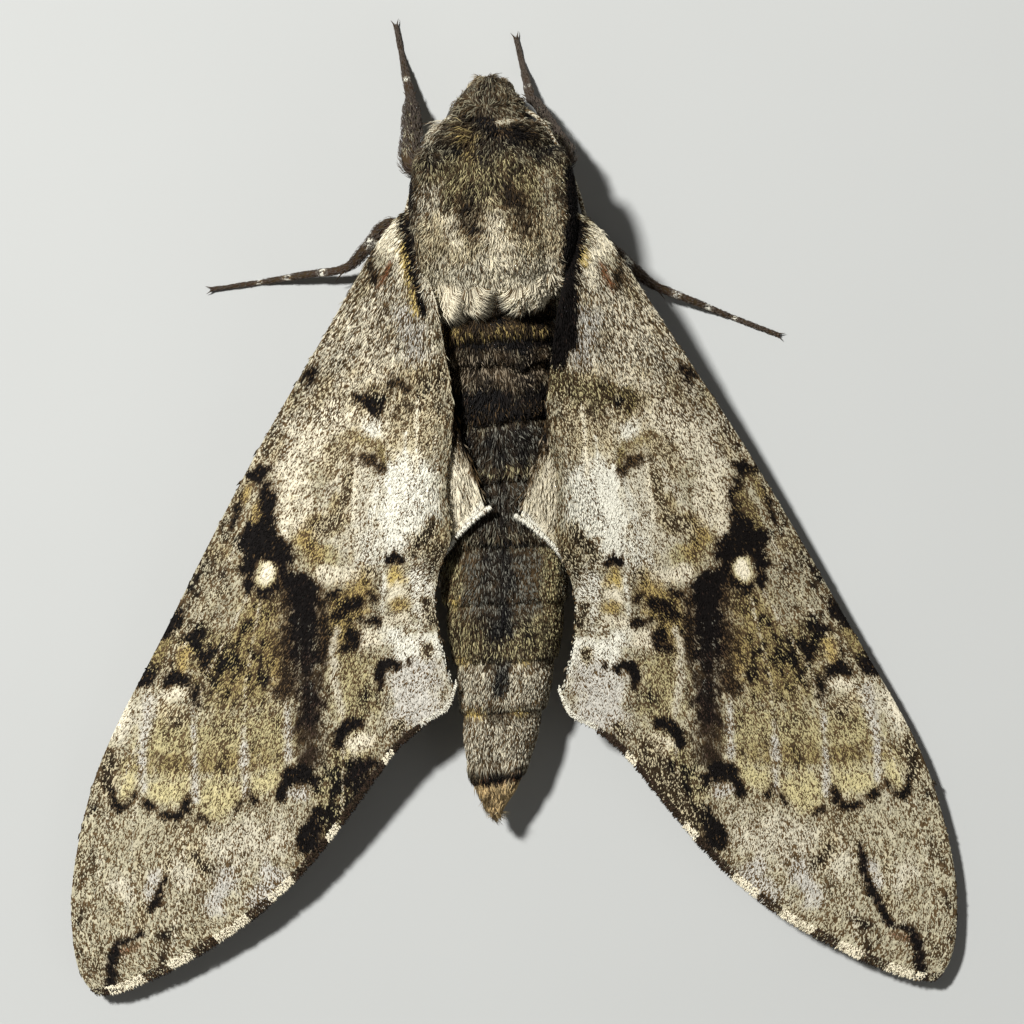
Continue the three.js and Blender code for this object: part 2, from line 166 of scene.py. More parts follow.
WING_GROUND = ("stone", 0.46)
WING_FIELDS = (
    # the basal third
    ("cream", 0.42, 3.0, ((8.5, -16, 2.5), (9.5, -12, 3.5), (10, -8, 4.5))),
    ("pearl", 0.44, 1.2, ((7.5, -18, 0.6), (7.5, -13, 1.0))),
    ("cream", 0.42, 1.5, ((10.5, -17, 0.8), (12.5, -13.5, 1.0))),
    ("pearl", 0.50, 2.0, ((13, -11, 1.0), (17.5, -4.5, 1.6))),
    ("cream", 0.42, 1.5, ((12, -8, 1.5), (14.5, -6, 1.5))),
    ("cream", 0.30, 0.8, ((5.5, -11.5, 0.5), (8.5, -11, 0.6), (11, -10.5, 0.6))),
    ("cream", 0.10, 0.5, ((8.4, -9.4, 0.3), (8.6, -8.2, 0.4), (9.2, -7, 0.3))),
    ("cream", 0.10, 0.5, ((9.5, -10.3, 0.3), (10.8, -10, 0.4))),
    ("white", 0.12, 0.9, ((10.2, -6.5, 0.8), (9.8, -5.8, 0.5))),
    ("olive", 0.40, 0.7, ((9.3, -4.8, 0.3), (10.3, -4.4, 0.4), (12.5, -4.5, 0.3))),
    ("sand", 0.58, 1.3, ((4.8, -10.2, 0.7), (6.5, -9, 1.1), (9.5, -8.7, 0.8), (11.5, -9, 0.6))),
    ("sand", 0.56, 1.2, ((4.6, -7, 0.9), (6, -5.4, 0.9), (8.4, -5.2, 0.4))),
    ("olive", 0.52, 0.9, ((9.5, -5.2, 0.3), (11.5, -5.6, 0.5), (13, -5, 0.4))),
    ("lilac", 0.40, 1.0, ((7, -15.5, 0.6), (6.4, -12.5, 0.6))),
    # the white middle
    ("pearl", 0.30, 1.6, ((11.5, -2.5, 2), (12, 1, 2.2), (12, 3.5, 1.2))),
    ("white", 0.24, 1.6, ((7.5, -2, 1.6), (8.2, 0.5, 1.7), (9.5, 3, 1.3), (10.5, 4, 0.9))),
    ("white", 0.06, 0.9, ((8.6, -2.5, 0.3), (8.7, 0.5, 0.5), (8.6, 2.5, 0.3))),
    ("white", 0.14, 1.0, ((5.7, -2.5, 0.8), (5.7, 0, 0.9), (7.5, 2.6, 0.8))),
    ("grey", 0.52, 0.8, ((4.2, -6, 0.6), (4.1, -2, 0.4), (4.4, 3, 0.5))),
    ("cream", 0.24, 1.6, ((16.5, -3, 0.8), (17, -0.5, 1.2), (16.7, 1.5, 1))),
    ("straw", 0.38, 1.0, ((15.5, 2.8, 0.8), (14, 3.8, 0.8))),
    ("olive", 0.54, 0.7, ((12.8, -0.8, 0.3), (13.2, 0.8, 0.5), (14.3, 1.2, 0.5))),
    ("ochre", 0.54, 0.6, ((14.8, 0.8, 0.4), (15.6, 2, 0.5), (14.8, 3.3, 0.4))),
    # the olive and grey outer half
    ("olive", 0.64, 1.8, ((19, 8, 1.5), (20.5, 11, 2.8), (21.5, 13, 2.6))),
    ("ochre", 0.50, 0.8, ((18.2, 11, 0.5), (18.3, 13, 0.5))),
    ("grey", 0.66, 1.5, ((21.5, 1.5, 0.9), (23, 4.5, 1.6), (25, 8, 1.3))),
    ("grey", 0.52, 0.9, ((22.5, 3.5, 0.6), (23.5, 7.5, 0.7), (22.5, 8.5, 0.6))),
    ("straw", 0.48, 1.5, ((28, 17.5, 1.8), (23.5, 18, 1.9), (19, 17.5, 1.9))),
    ("sand", 0.56, 0.7, ((26.5, 16, 0.6), (27.5, 15.5, 0.5))),
    ("olive", 0.62, 0.8, ((30.5, 19.8, 0.5), (25, 20, 0.6), (19, 19.8, 0.5))),
    ("olive", 0.76, 1.6, ((25, 10.5, 1.0), (27.5, 11.5, 1.2))),
    ("umber", 0.86, 1.4, ((12.5, 21.5, 1.0), (14.5, 25.5, 1.3))),
    # the grey end of the wing
    ("stone", 0.44, 1.8, ((32, 27, 2.2), (31, 32, 3.2), (25, 30.5, 4.2), (19.5, 27, 2.6))),
    ("pearl", 0.30, 1.4, ((23.5, 26.5, 1), (21, 26.5, 1.6), (18.8, 26, 1))),
    ("sand", 0.62, 0.9, ((25.6, 26.5, 0.6), (25.2, 28, 0.5))),
    ("pearl", 0.22, 0.9, ((26, 29.2, 0.5), (27, 28.4, 0.5))),
    ("lilac", 0.18, 0.6, ((28.7, 29, 0.25), (29.5, 30.3, 0.4))),
    ("pearl", 0.30, 0.8, ((30.8, 30, 0.7), (32, 29.5, 0.6))),
    ("stone", 0.62, 1.0, ((33.5, 22.5, 0.6), (34.7, 28, 0.5), (34.8, 33, 0.5), (34, 36.5, 0.4))),
    ("lilac", 0.40, 0.9, ((19, 29, 0.8), (20, 31, 0.8))),
    ("lilac", 0.24, 0.8, ((22.5, 28.5, 0.5), (24, 31, 0.6))),
    ("stone", 0.58, 0.9, ((26.5, 31.5, 0.9), (28.5, 34.5, 0.9))),
    ("pearl", 0.24, 0.8, ((28.5, 14.2, 0.4), (30.3, 15.5, 0.6), (31.2, 17.5, 0.4))),
    ("lilac", 0.30, 0.6, ((28.7, 14.5, 0.3), (29.2, 17.5, 0.4))),
    ("ivory", 0.04, 0.3, ((30.3, 14.5, 0.15), (31.8, 17.5, 0.2))),
    ("cream", 0.18, 0.5, ((26, 14.2, 0.4), (27.2, 14.3, 0.3))),
    # the inner margin and its white lobe
    ("lilac", 0.22, 1.0, ((7.3, 13, 2.0), (7, 15.5, 1.9), (8.3, 16.3, 0.9))),
    ("white", 0.12, 1.0, ((5.8, 10.8, 0.6), (8, 10.8, 0.9), (9.3, 9.5, 0.5))),
    ("white", 0.12, 0.4, ((5.2, 11, 0.15), (4.4, 14, 0.2), (4.8, 16.3, 0.15))),
    ("straw", 0.58, 1.2, ((12.3, 12.5, 1.5), (12.2, 15, 1.5))),
    ("straw", 0.74, 1.2, ((12, 18.5, 1.2), (13.8, 21.5, 1.4), (14.5, 24.3, 0.9))),
    ("cream", 0.24, 0.7, ((11.5, 18.3, 0.6), (12.3, 18.6, 0.5))),
    ("cream", 0.28, 0.6, ((10.5, 4.9, 0.4), (12.5, 5.2, 0.6), (14.4, 4.9, 0.6))),
    ("ochre", 0.62, 1.0, ((11, 6, 0.8), (12.8, 7.5, 1.4), (13, 9.5, 1.0))),
    ("cream", 0.28, 0.7, ((10.7, 9.9, 0.6), (11.4, 10.4, 0.5))),
    ("white", 0.42, 0.9, ((6.6, 5.5, 0.8), (6.2, 8, 0.8))),
    ("cream", 0.30, 0.5, ((8, 8.4, 0.4), (9.5, 8.7, 0.4))),
    ("gold", 0.30, 0.6, ((8.7, 4.6, 0.4), (8.6, 5.6, 0.5))),
    ("cream", 0.04, 0.4, ((8.4, 6.4, 0.5), (8.8, 6.9, 0.5))),
    ("ochre", 0.60, 0.4, ((8, 7.5, 0.4), (8.7, 7.6, 0.4))),
    ("white", 0.12, 0.25, ((9.5, 5.2, 0.12), (9.7, 8, 0.12))),
)
WING_DARKS = (
    # the base and the broken first line
    ("brown", 0.82, 0.5, ((9.6, -20.3, 0.25), (9.6, -19, 0.25), (9.3, -18.2, 0.4))),
    ("sand", 0.60, 0.5, ((10.2, -17.6, 0.3), (10.8, -17, 0.3))),
    ("brown", 0.92, 0.55, ((9.8, -7.8, 0.25), (10.2, -8.4, 0.35), (11.2, -9.1, 0.35))),
    ("brown", 0.84, 0.5, ((8.3, -10.1, 0.3), (7.6, -9.9, 0.3), (7.1, -9.3, 0.25))),
    ("sand", 0.70, 0.4, ((6.1, -10.2, 0.25), (5.2, -10.3, 0.3))),
    ("brown", 0.82, 0.5, ((6.9, -7.9, 0.3), (7.8, -7.5, 0.35))),
    ("sand", 0.60, 0.4, ((8.2, -7, 0.2), (8, -6, 0.15))),
    ("brown", 0.90, 0.45, ((15.3, -10.8, 0.35), (14.5, -11.2, 0.35), (15, -10.2, 0.25))),
    ("sand", 0.60, 0.8, ((13.5, -10.5, 0.5), (13.8, -9.5, 0.4))),
    ("brown", 0.82, 0.5, ((9.4, -3.3, 0.35), (10.4, -3.9, 0.45), (11.5, -4.4, 0.3))),
    ("sand", 0.70, 0.6, ((11.8, -3.2, 0.25), (12.3, -1.2, 0.3), (13, 0.5, 0.35), (14.6, 1.5, 0.45))),
    ("sand", 0.58, 0.7, ((12, -5.2, 0.5), (13.2, -4.6, 0.5), (13.6, -3, 0.3))),
    ("sand", 0.56, 0.9, ((8.6, -6, 0.3), (7.2, -6.8, 0.6), (5.2, -7.6, 0.5))),
    ("olive", 0.62, 0.4, ((9.3, -4.7, 0.2), (9.2, -4, 0.2))),
    # the dark leading edge down to the pale cell spot
    ("brown", 0.97, 0.35, ((19.9, -3, 0.4), (19.2, -3.3, 0.5), (18.6, -3.6, 0.3))),
    ("brown", 0.92, 0.4, ((20.5, -1.8, 0.3), (21.3, -0.5, 0.3))),
    ("ochre", 0.45, 0.5, ((20, -1.9, 0.4), (20.5, -1, 0.3))),
    ("brown", 0.95, 0.6, ((18.8, -2.4, 0.5), (18.8, -0.5, 0.7), (19.1, 1, 0.8))),
    ("brown", 0.95, 0.6, ((20.9, 0, 0.5), (20.6, 1.3, 0.5))),
    ("ochre", 0.55, 0.4, ((19.8, -0.6, 0.3), (19.8, 0.4, 0.25))),
    ("brown", 0.995, 0.5, ((20.1, 2.1, 1.0), (19, 2.4, 1.2), (18, 3.1, 1.1), (17.2, 3.4, 0.6))),
    ("brown", 0.94, 0.6, ((17.3, 4.6, 0.5), (17.8, 5.6, 0.6), (19.2, 6.2, 0.4))),
    ("brown", 0.96, 0.5, ((20.3, 3.8, 0.5), (20.4, 5.6, 0.5))),
    # the broad black streak and what runs beside it
    ("brown", 0.80, 1.0, ((17.2, 6.6, 0.6), (17.4, 10, 0.6), (17.6, 14.3, 0.5))),
    ("brown", 0.80, 0.7, ((14.6, 6.5, 0.4), (14.6, 11.5, 0.3))),
    ("umber", 0.78, 0.9, ((15.9, 15.5, 0.8), (15.7, 19.5, 0.7))),
    ("umber", 0.995, 0.6, ((16, 5.8, 0.9), (16, 8.5, 1.0), (15.9, 12, 0.8))),
    ("umber", 0.86, 0.9, ((15.9, 12, 0.8), (15.9, 16, 0.6))),
    ("brown", 0.82, 0.4, ((17.6, 14.3, 0.3), (18.6, 14.2, 0.25))),
    ("slate", 0.80, 0.12, ((15.6, 9, 0.04), (15.6, 15, 0.04))),
    ("slate", 0.80, 0.12, ((16.4, 8, 0.04), (16.4, 14, 0.04))),
    # the mottled cluster between the streak and the white lobe
    ("brown", 0.93, 0.35, ((13.9, 6.6, 0.35), (13.1, 6.2, 0.3))),
    ("brown", 0.93, 0.4, ((11.5, 7.2, 0.3), (12.4, 7.6, 0.35), (13.5, 8.2, 0.35))),
    ("brown", 0.93, 0.35, ((10.2, 8.8, 0.35), (11.3, 8.7, 0.3))),
    ("brown", 0.92, 0.4, ((12.3, 9.6, 0.4), (12, 10.5, 0.4), (12.8, 10.8, 0.3))),
    ("brown", 0.84, 0.35, ((10.2, 7, 0.2), (10.8, 6.5, 0.2))),
    ("brown", 0.84, 0.35, ((14.3, 7, 0.3), (14.5, 8.5, 0.3), (14.4, 11, 0.3))),
    ("sand", 0.74, 0.35, ((10, 5.2, 0.2), (10.6, 4.5, 0.2))),
    ("brown", 0.99, 0.2, (
        (8.7, 12.4, 0.35), (9.2, 12, 0.35), (9.9, 12.3, 0.4), (10.2, 13.2, 0.4), (10, 13.9, 0.25))),
    ("brown", 0.95, 0.2, ((7.7, 12, 0.15), (7.6, 12.3, 0.12))),
    ("sand", 0.74, 0.3, ((6.3, 11, 0.3), (6.3, 11.5, 0.25))),
    ("sand", 0.76, 0.3, ((8.7, 17, 0.4), (8.9, 17.4, 0.3))),
    ("brown", 0.88, 0.25, ((6.2, 17.1, 0.25), (6.1, 17.5, 0.2))),
    ("sand", 0.78, 0.6, ((5.6, 1.2, 0.3), (6.5, 2.2, 0.5), (7.3, 3.3, 0.3))),
    ("sand", 0.74, 0.6, ((4.8, 3.1, 0.3), (5.4, 3.8, 0.3))),
    ("brown", 0.98, 0.25, ((8.1, 4, 0.25), (8.8, 3.5, 0.45), (9.1, 4.1, 0.3))),
    ("sand", 0.78, 0.5, ((6.2, 7.2, 0.25), (5.8, 8.8, 0.3))),
    ("brown", 0.97, 0.3, ((11.8, 16.9, 0.4), (12.6, 16.8, 0.4), (13.4, 17.6, 0.4), (13.7, 18.6, 0.3))),
    # the dark inner corner
    ("umber", 0.92, 0.5, ((7.6, 17.8, 0.35), (8.7, 18.6, 0.5), (9.5, 19.3, 0.4))),
    ("umber", 0.90, 0.5, ((11.2, 20, 0.4), (12.3, 20.6, 0.6), (12.8, 21.5, 0.4))),
    ("umber", 0.92, 0.5, ((10.3, 20.5, 0.4), (11.5, 22.2, 0.7), (12.6, 24, 0.5))),
    ("brown", 0.98, 0.35, ((15.6, 21.3, 0.4), (16.4, 20.9, 0.6), (17.5, 20.9, 0.6))),
    ("brown", 0.98, 0.35, ((17.5, 20.9, 0.6), (18.1, 21.8, 0.4), (18.4, 22.6, 0.3))),
    ("lilac", 0.50, 0.4, ((16.6, 22.4, 0.4), (17.3, 22.3, 0.3))),
    ("brown", 0.94, 0.5, ((15.6, 23.8, 0.35), (15.9, 25, 0.6), (16.6, 26.3, 0.6))),
    ("brown", 0.98, 0.35, ((16.2, 25.3, 0.5), (16.7, 26.5, 0.5))),
    ("umber", 0.94, 0.5, ((14.3, 26.3, 0.4), (15.4, 27.2, 0.6), (16.2, 28.4, 0.5))),
    # the leading edge towards the tip
    ("sand", 0.75, 0.3, ((22.2, 6, 0.15), (23.3, 6.4, 0.25))),
    ("brown", 0.95, 0.4, ((26.2, 7.8, 0.3), (26.8, 8.8, 0.5), (27.6, 9.6, 0.4))),
    ("brown", 0.97, 0.35, ((24.7, 9.6, 0.35), (25.5, 9.7, 0.35))),
    ("brown", 0.92, 0.35, ((23.5, 10.8, 0.3), (24.3, 11.4, 0.4), (24.2, 11.9, 0.25))),
    ("ochre", 0.34, 0.5, ((25.8, 11.1, 0.5), (26, 12.1, 0.4))),
    ("olive", 0.55, 0.5, ((27.3, 10.5, 0.4), (28, 11.3, 0.4))),
    ("brown", 0.97, 0.4, ((29.3, 12.9, 0.6), (28, 13.2, 0.4), (26.7, 12.8, 0.4), (25.8, 13.2, 0.3))),
    ("brown", 0.88, 0.4, ((25.2, 13.9, 0.3), (24.9, 15.2, 0.35))),
    ("sand", 0.78, 0.6, ((32, 19.3, 0.4), (32.6, 21, 0.6), (32.2, 22, 0.4))),
    # the dagger and the dark line into the tip
    ("sand", 0.66, 0.25, ((27.7, 26.5, 0.08), (27.8, 28.8, 0.1))),
    ("sand", 0.60, 0.3, ((30, 27, 0.08), (30, 33, 0.1))),
    ("brown", 0.99, 0.18, ((27.8, 28.9, 0.1), (28.3, 29.8, 0.2), (28.6, 30.8, 0.3), (29.2, 31.5, 0.25))),
    ("umber", 0.98, 0.25, ((30, 33.5, 0.2), (31, 34, 0.2), (32, 34.2, 0.3), (32.4, 35.2, 0.35))),
    ("umber", 0.98, 0.25, ((32.4, 35.2, 0.35), (32.6, 36.8, 0.4), (32.8, 38.6, 0.45))),
    ("rust", 0.62, 0.3, ((30.5, 34.4, 0.15), (31.5, 34.8, 0.15))),
)
# between the thorax and the wing's root: black hair and painted shadow of the gap there, broad on the right
# wing where the thorax's shadow falls, and on the left some of the thorax's pale hair
LEFT_ROOT_HAIR_AND_SHADOW = (
    ("pearl", 0.30, 0.3, ((5.7, -19.5, 0.3), (5.3, -18, 0.5), (5.1, -15.8, 0.5))),
    ("umber", 0.98, 0.25, ((6.7, -23, 0.35), (6.4, -20, 0.32), (6.1, -18, 0.3), (5.8, -15.6, 0.25))),
    ("gold", 0.24, 0.2, ((7.2, -20.6, 0.08), (6.8, -18.4, 0.18), (6.5, -17, 0.22), (6.2, -15.3, 0.15))),
)
RIGHT_ROOT_HAIR_AND_SHADOW = (
    ("umber", 0.99, 0.3, ((6.3, -22.5, 0.5), (5.7, -20, 0.6), (5.3, -18, 0.75))),
    ("umber", 0.99, 0.3, ((5.3, -18, 0.75), (5.2, -15.5, 0.95), (5.1, -13.6, 0.95), (4.6, -12.2, 0.5))),
)
RIGHT_WING_DARKS = (
    ("sand", 0.52, 0.5, ((9.7, -7.6, 0.4), (10.6, -8.5, 0.6), (11.6, -9.3, 0.4))),
    ("straw", 0.68, 0.9, ((4.6, -10.4, 0.8), (6.6, -9.6, 0.8), (8.4, -9.2, 0.5))),
    ("olive", 0.74, 0.6, ((8.8, -9.4, 0.3), (10.4, -9.2, 0.35), (10.2, -8.4, 0.2))),
    ("olive", 0.62, 0.8, ((19.6, -2, 0.5), (19.8, -0.3, 0.7), (20.6, 1, 0.3))),
    ("umber", 0.94, 0.2, ((27.9, 27, 0.12), (28.2, 29.3, 0.25), (29.2, 32, 0.25), (30.2, 33.6, 0.25))),
    ("sand", 0.74, 1.2, ((10.6, 18.8, 0.7), (12, 21.5, 0.9), (14, 24, 0.9))),
)
# the yellow band fills each cell between two veins: (x, y, radius) of its ends
YELLOW_CELLS = (
    ((18.8, 21, 0.8), (19.9, 21.6, 0.8)),
    ((22.2, 22, 1.0), (23.6, 22.7, 1.4)),
    ((26.6, 21.9, 0.8), (28.4, 21.9, 0.8)),
    ((30.5, 21, 0.5), (31, 22.2, 0.5)),
)
# under it the scalloped line breaks into crescents: (x, y) of the two horns, bow and radius
SCALLOPS = (
    ((30.2, 22.3), (31.9, 21.8), 0.75, 0.27),
    ((25.9, 22.5), (28.1, 23.9), 0.35, 0.27),
    ((28.4, 23.4), (29.5, 22.7), 0.10, 0.26),
    ((24.2, 24.7), (24.9, 24.0), 0.10, 0.22),
    ((21.4, 22.8), (22.0, 23.9), -0.10, 0.18),
    ((20.2, 23.1), (20.8, 22.4), 0.10, 0.22),
)
# stretches along the fringe: the share of the margin where each ends, its tone and its share of the length
FRINGE_STRETCHES = (
    (0.03, "umber", 0.7), (0.11, "ivory", 1), (0.165, "umber", 1), (0.22, "ivory", 1), (0.275, "umber", 1),
    (0.355, "ivory", 1), (0.41, "umber", 1), (0.475, "ivory", 1), (0.58, "umber", 1), (0.62, "ivory", 1),
    (0.775, "umber", 1), (0.805, "ivory", 1), (0.88, "umber", 1), (1.01, "white", 0.45),
)
HINDWING_FRINGE = ((0.6, "underside", 1), (1.01, "white", 1.3))
# grey lines along the veins of the outer half: x, y from, y to
PALE_VEINS = ((17.6, 15, 19.5), (21.2, 17, 22.5), (25.2, 15, 22.8), (29.4, 17.5, 22))
PALE_STREAKS = (
    ("white", 0.03, 0.2, ((8.7, -4.4, 0.06), (8.8, -0.5, 0.14), (9, 3.4, 0.08))),
    ("white", 0.06, 0.2, ((7.4, -6, 0.05), (7.6, -2, 0.1), (7.7, 1, 0.05))),
    ("ivory", 0.10, 0.2, ((6.4, -8.5, 0.05), (6.7, -3, 0.08))),
    ("ivory", 0.10, 0.2, ((11.2, -5.5, 0.05), (11.8, 0.5, 0.08))),
    ("pearl", 0.26, 0.3, ((13.3, 9.3, 0.1), (13.9, 11.2, 0.12))),
    ("pearl", 0.30, 0.4, ((13.7, 11.8, 0.1), (13.7, 13.3, 0.2), (13.3, 15.8, 0.2))),
    ("stone", 0.48, 0.3, ((19.5, -2, 0.15), (21.3, 1.5, 0.25))),
    ("stone", 0.50, 0.3, ((22.8, 5.5, 0.2), (24.2, 7.5, 0.25))),
    ("stone", 0.52, 0.3, ((26.5, 10.3, 0.2), (28.3, 14, 0.25))),
)
WING_ROOT_HAIR = (
    ("ivory", 0.03, 0.5, ((8, -22, 0.6), (8.4, -21, 0.6), (7.6, -20.2, 0.4))),
    ("cream", 0.06, 0.3, ((7.2, -19.5, 0.25), (7.4, -18, 0.25))),
    ("gold", 0.10, 0.25, ((6.8, -20.6, 0.15), (6.6, -19.7, 0.15))),
    ("rust", 0.40, 0.25, ((8.2, -19.3, 0.12), (8.5, -18.4, 0.2), (9, -17.7, 0.1))),
    ("pearl", 0.20, 0.4, ((10.5, -19.3, 0.3), (11.2, -18.7, 0.3))),
)
CELL_SPOT = (
    ("yellow", 0.10, 0.4, ((18.9, 4.6, 0.65), (19.1, 5, 0.65))),
    ("ivory", 0.02, 0.3, ((18.8, 4.5, 0.4), (19.2, 5.1, 0.35))),
)
HINDWING_MARKS = (
    ("brown", 0.86, 1.2, ((5, -13, 1.4), (4, -8.5, 1.4), (2.9, -5, 0.9))),
    ("cream", 0.12, 0.9, ((3.9, -4.2, 0.7), (3.4, -2, 1.1), (3.0, 0.6, 1.3))),
    ("brown", 0.70, 0.6, ((2.4, -4.6, 0.4), (1.9, -2.8, 0.2))),
    ("white", 0.02, 0.2, ((1.2, -0.7, 0.2), (2.5, 1, 0.25), (3.6, 2.5, 0.3))),
)
BODY_GROUND = ("moss", 0.70)
BODY_MARKS = (
    # head and collar
    ("moss", 0.68, 1.0, ((0, -33, 2.2), (0, -31.4, 2.6))),
    ("pearl", 0.45, 0.6, ((3.6, -29.6, 0.5), (4.6, -28.3, 0.4))),
    ("ivory", 0.05, 0.4, ((3, -31, 0.4), (4, -30.5, 0.5))),
    ("ivory", 0.20, 0.4, ((-3, -30.8, 0.3), (-3.8, -30.2, 0.3))),
    ("moss", 0.80, 0.8, ((-4, -28, 1.0), (0, -28.4, 1.2), (4, -28, 1.0))),
    ("brown", 0.90, 0.5, ((1.4, -30.9, 0.25), (0.6, -30.5, 0.35))),
    ("brown", 0.90, 0.5, ((-0.2, -29.7, 0.3), (-1.3, -29.5, 0.35), (-2.6, -29.3, 0.2))),
    ("pearl", 0.20, 0.25, ((-0.5, -30.4, 0.15), (-1.5, -30.7, 0.15), (-2.4, -30.3, 0.15))),
    ("ochre", 0.76, 0.9, ((1.6, -29.2, 0.3), (1.6, -26.3, 0.6), (3.4, -26, 0.4))),
    # thorax, dark in front and pale behind
    ("straw", 0.68, 1.4, ((-3.5, -25.5, 1.5), (0, -25.5, 1.5), (3.5, -25.5, 1.5))),
    ("pearl", 0.52, 0.9, ((4.8, -25, 0.7), (5, -22, 0.7))),
    ("grey", 0.50, 0.9, ((-3.9, -26, 0.7), (-4.6, -23, 0.8))),
    ("sand", 0.34, 1.8, ((-3, -20.5, 2.4), (0, -20.8, 2.4), (3.2, -20.5, 2.4))),
    ("pearl", 0.20, 1.4, ((-3.4, -18, 1.6), (0, -18, 1.6), (3.6, -18, 1.6))),
    ("cream", 0.16, 0.7, ((3.2, -23.3, 0.3), (2.9, -21, 0.4))),
    ("cream", 0.16, 0.8, ((0, -22.6, 0.5), (-0.4, -20, 0.7), (-0.3, -17, 0.8))),
    ("brown", 0.80, 1.1, ((2.1, -24.3, 0.3), (1.9, -22.8, 0.4), (1.5, -21.8, 0.1))),
    ("brown", 0.80, 1.1, ((-2, -24.6, 0.3), (-2.1, -22.4, 0.25))),
    ("brown", 0.78, 0.8, ((-1, -25.6, 0.2), (-1.2, -24, 0.15))),
    ("gold", 0.22, 0.5, ((-4, -17.8, 0.4),)),
    ("brown", 0.78, 0.7, ((-4.8, -15.0, 1.2), (-0.3, -15.4, 1.4), (4.6, -15.3, 1.2))),
    ("brown", 0.80, 0.4, ((-0.1, -17, 0.25), (-0.1, -15.4, 0.4))),
    ("brown", 0.80, 0.4, ((3.2, -16.6, 0.15), (3.1, -15.4, 0.3))),
    ("ochre", 0.72, 0.5, ((-3.6, -14, 0.4), (0, -14.2, 0.4), (4, -14, 0.4))),
    ("umber", 0.96, 0.4, ((-4.8, -13.2, 0.4), (4.6, -13.2, 0.4))),
    # black stripes down the thorax's sides: dark hair and painted shadow of the gap between thorax and
    # wings, broader on the right
    ("umber", 0.99, 0.4, ((6.3, -26.5, 0.5), (6.8, -23, 0.5), (6.4, -19, 0.5), (5.9, -15.6, 0.6))),
    ("umber", 0.99, 0.4, ((-6.1, -26.5, 0.5), (-6.3, -23, 0.7), (-5.9, -20, 0.6), (-5.5, -14.5, 0.8))),
    # abdomen, front to rear
    ("underside", 0.74, 0.9, ((-5, -11.2, 1.3), (5, -11.2, 1.3))),
    ("umber", 0.97, 0.5, ((-5, -8.9, 0.5), (5, -8.9, 0.5))),
    ("brown", 0.86, 0.5, ((-5, -7.8, 0.7), (5, -7.8, 0.7))),
    ("slate", 0.82, 0.9, ((-5, -5.2, 1.5), (5, -5.2, 1.5))),
    ("straw", 0.74, 0.4, ((-2, -3.3, 0.3), (1.5, -3.3, 0.3))),
    ("slate", 0.76, 0.9, ((-5, -1, 1.8), (5, -1, 1.8))),
    ("umber", 0.94, 0.2, ((-1.6, 2.3, 0.15), (1.2, 2.2, 0.15))),
    ("slate", 0.64, 1.1, ((-5, 5.6, 2.4), (5, 5.6, 2.4))),
    ("straw", 0.56, 0.8, ((4.1, 3.6, 0.5), (4.2, 8.2, 0.7))),
    ("straw", 0.58, 0.8, ((-3.8, 3.6, 0.5), (-3.8, 8.2, 0.7))),
    ("gold", 0.30, 0.3, ((3.9, 6.9, 0.35),)),
    ("straw", 0.70, 1.4, ((-4.4, 10.2, 1.2), (4.4, 10.2, 1.2))),
    ("slate", 0.86, 0.9, ((0.3, 3.6, 1.0), (0.5, 9, 0.9))),
    ("gold", 0.34, 0.35, ((3.7, 11.6, 0.35), (3.1, 11.8, 0.2))),
    ("gold", 0.36, 0.35, ((-1.6, 11.8, 0.25), (-0.8, 11.9, 0.25))),
    ("pearl", 0.44, 0.8, ((-3.8, 13.7, 1.5), (4.2, 13.7, 1.5))),
    ("slate", 0.86, 0.6, ((0.5, 12.2, 0.5), (0.6, 13.8, 0.4))),
    ("gold", 0.36, 0.3, ((3.2, 15.8, 0.3), (2.2, 15.9, 0.25))),
    ("gold", 0.46, 0.3, ((-0.4, 15.8, 0.2), (-1.2, 15.9, 0.25))),
    ("brown", 0.80, 0.3, ((1.2, 15.8, 0.2), (0.2, 15.9, 0.2))),
    ("pearl", 0.52, 0.7, ((-2.8, 18.2, 1.7), (4, 18.2, 1.7))),
    ("rust", 0.90, 0.3, ((-2, 20.7, 0.3), (3.6, 20.7, 0.3))),
    ("tawny", 0.12, 0.4, ((-2, 22.7, 1.5), (4, 22.7, 1.5))),
)
LEG_BANDS = {  # shares of the leg's length: middle and half width of each pale ring
    "foreleg": ((0.74, 0.012),),
    "midleg": ((0.38, 0.025), (0.62, 0.014), (0.74, 0.012), (0.84, 0.010)),
    "hindleg": ((0.36, 0.025), (0.66, 0.014), (0.78, 0.012), (0.88, 0.010)),
}


# ---- Sizes and colours a user can change ----


def tone(name, words, red, green, blue):
    """A colour of scales or hair, given as it looks on a screen, from 0 to 255."""
    return FloatVectorProperty(
        name=name, description=words, subtype="COLOR_GAMMA", size=3, min=0, max=1,
        default=(red / 255, green / 255, blue / 255))


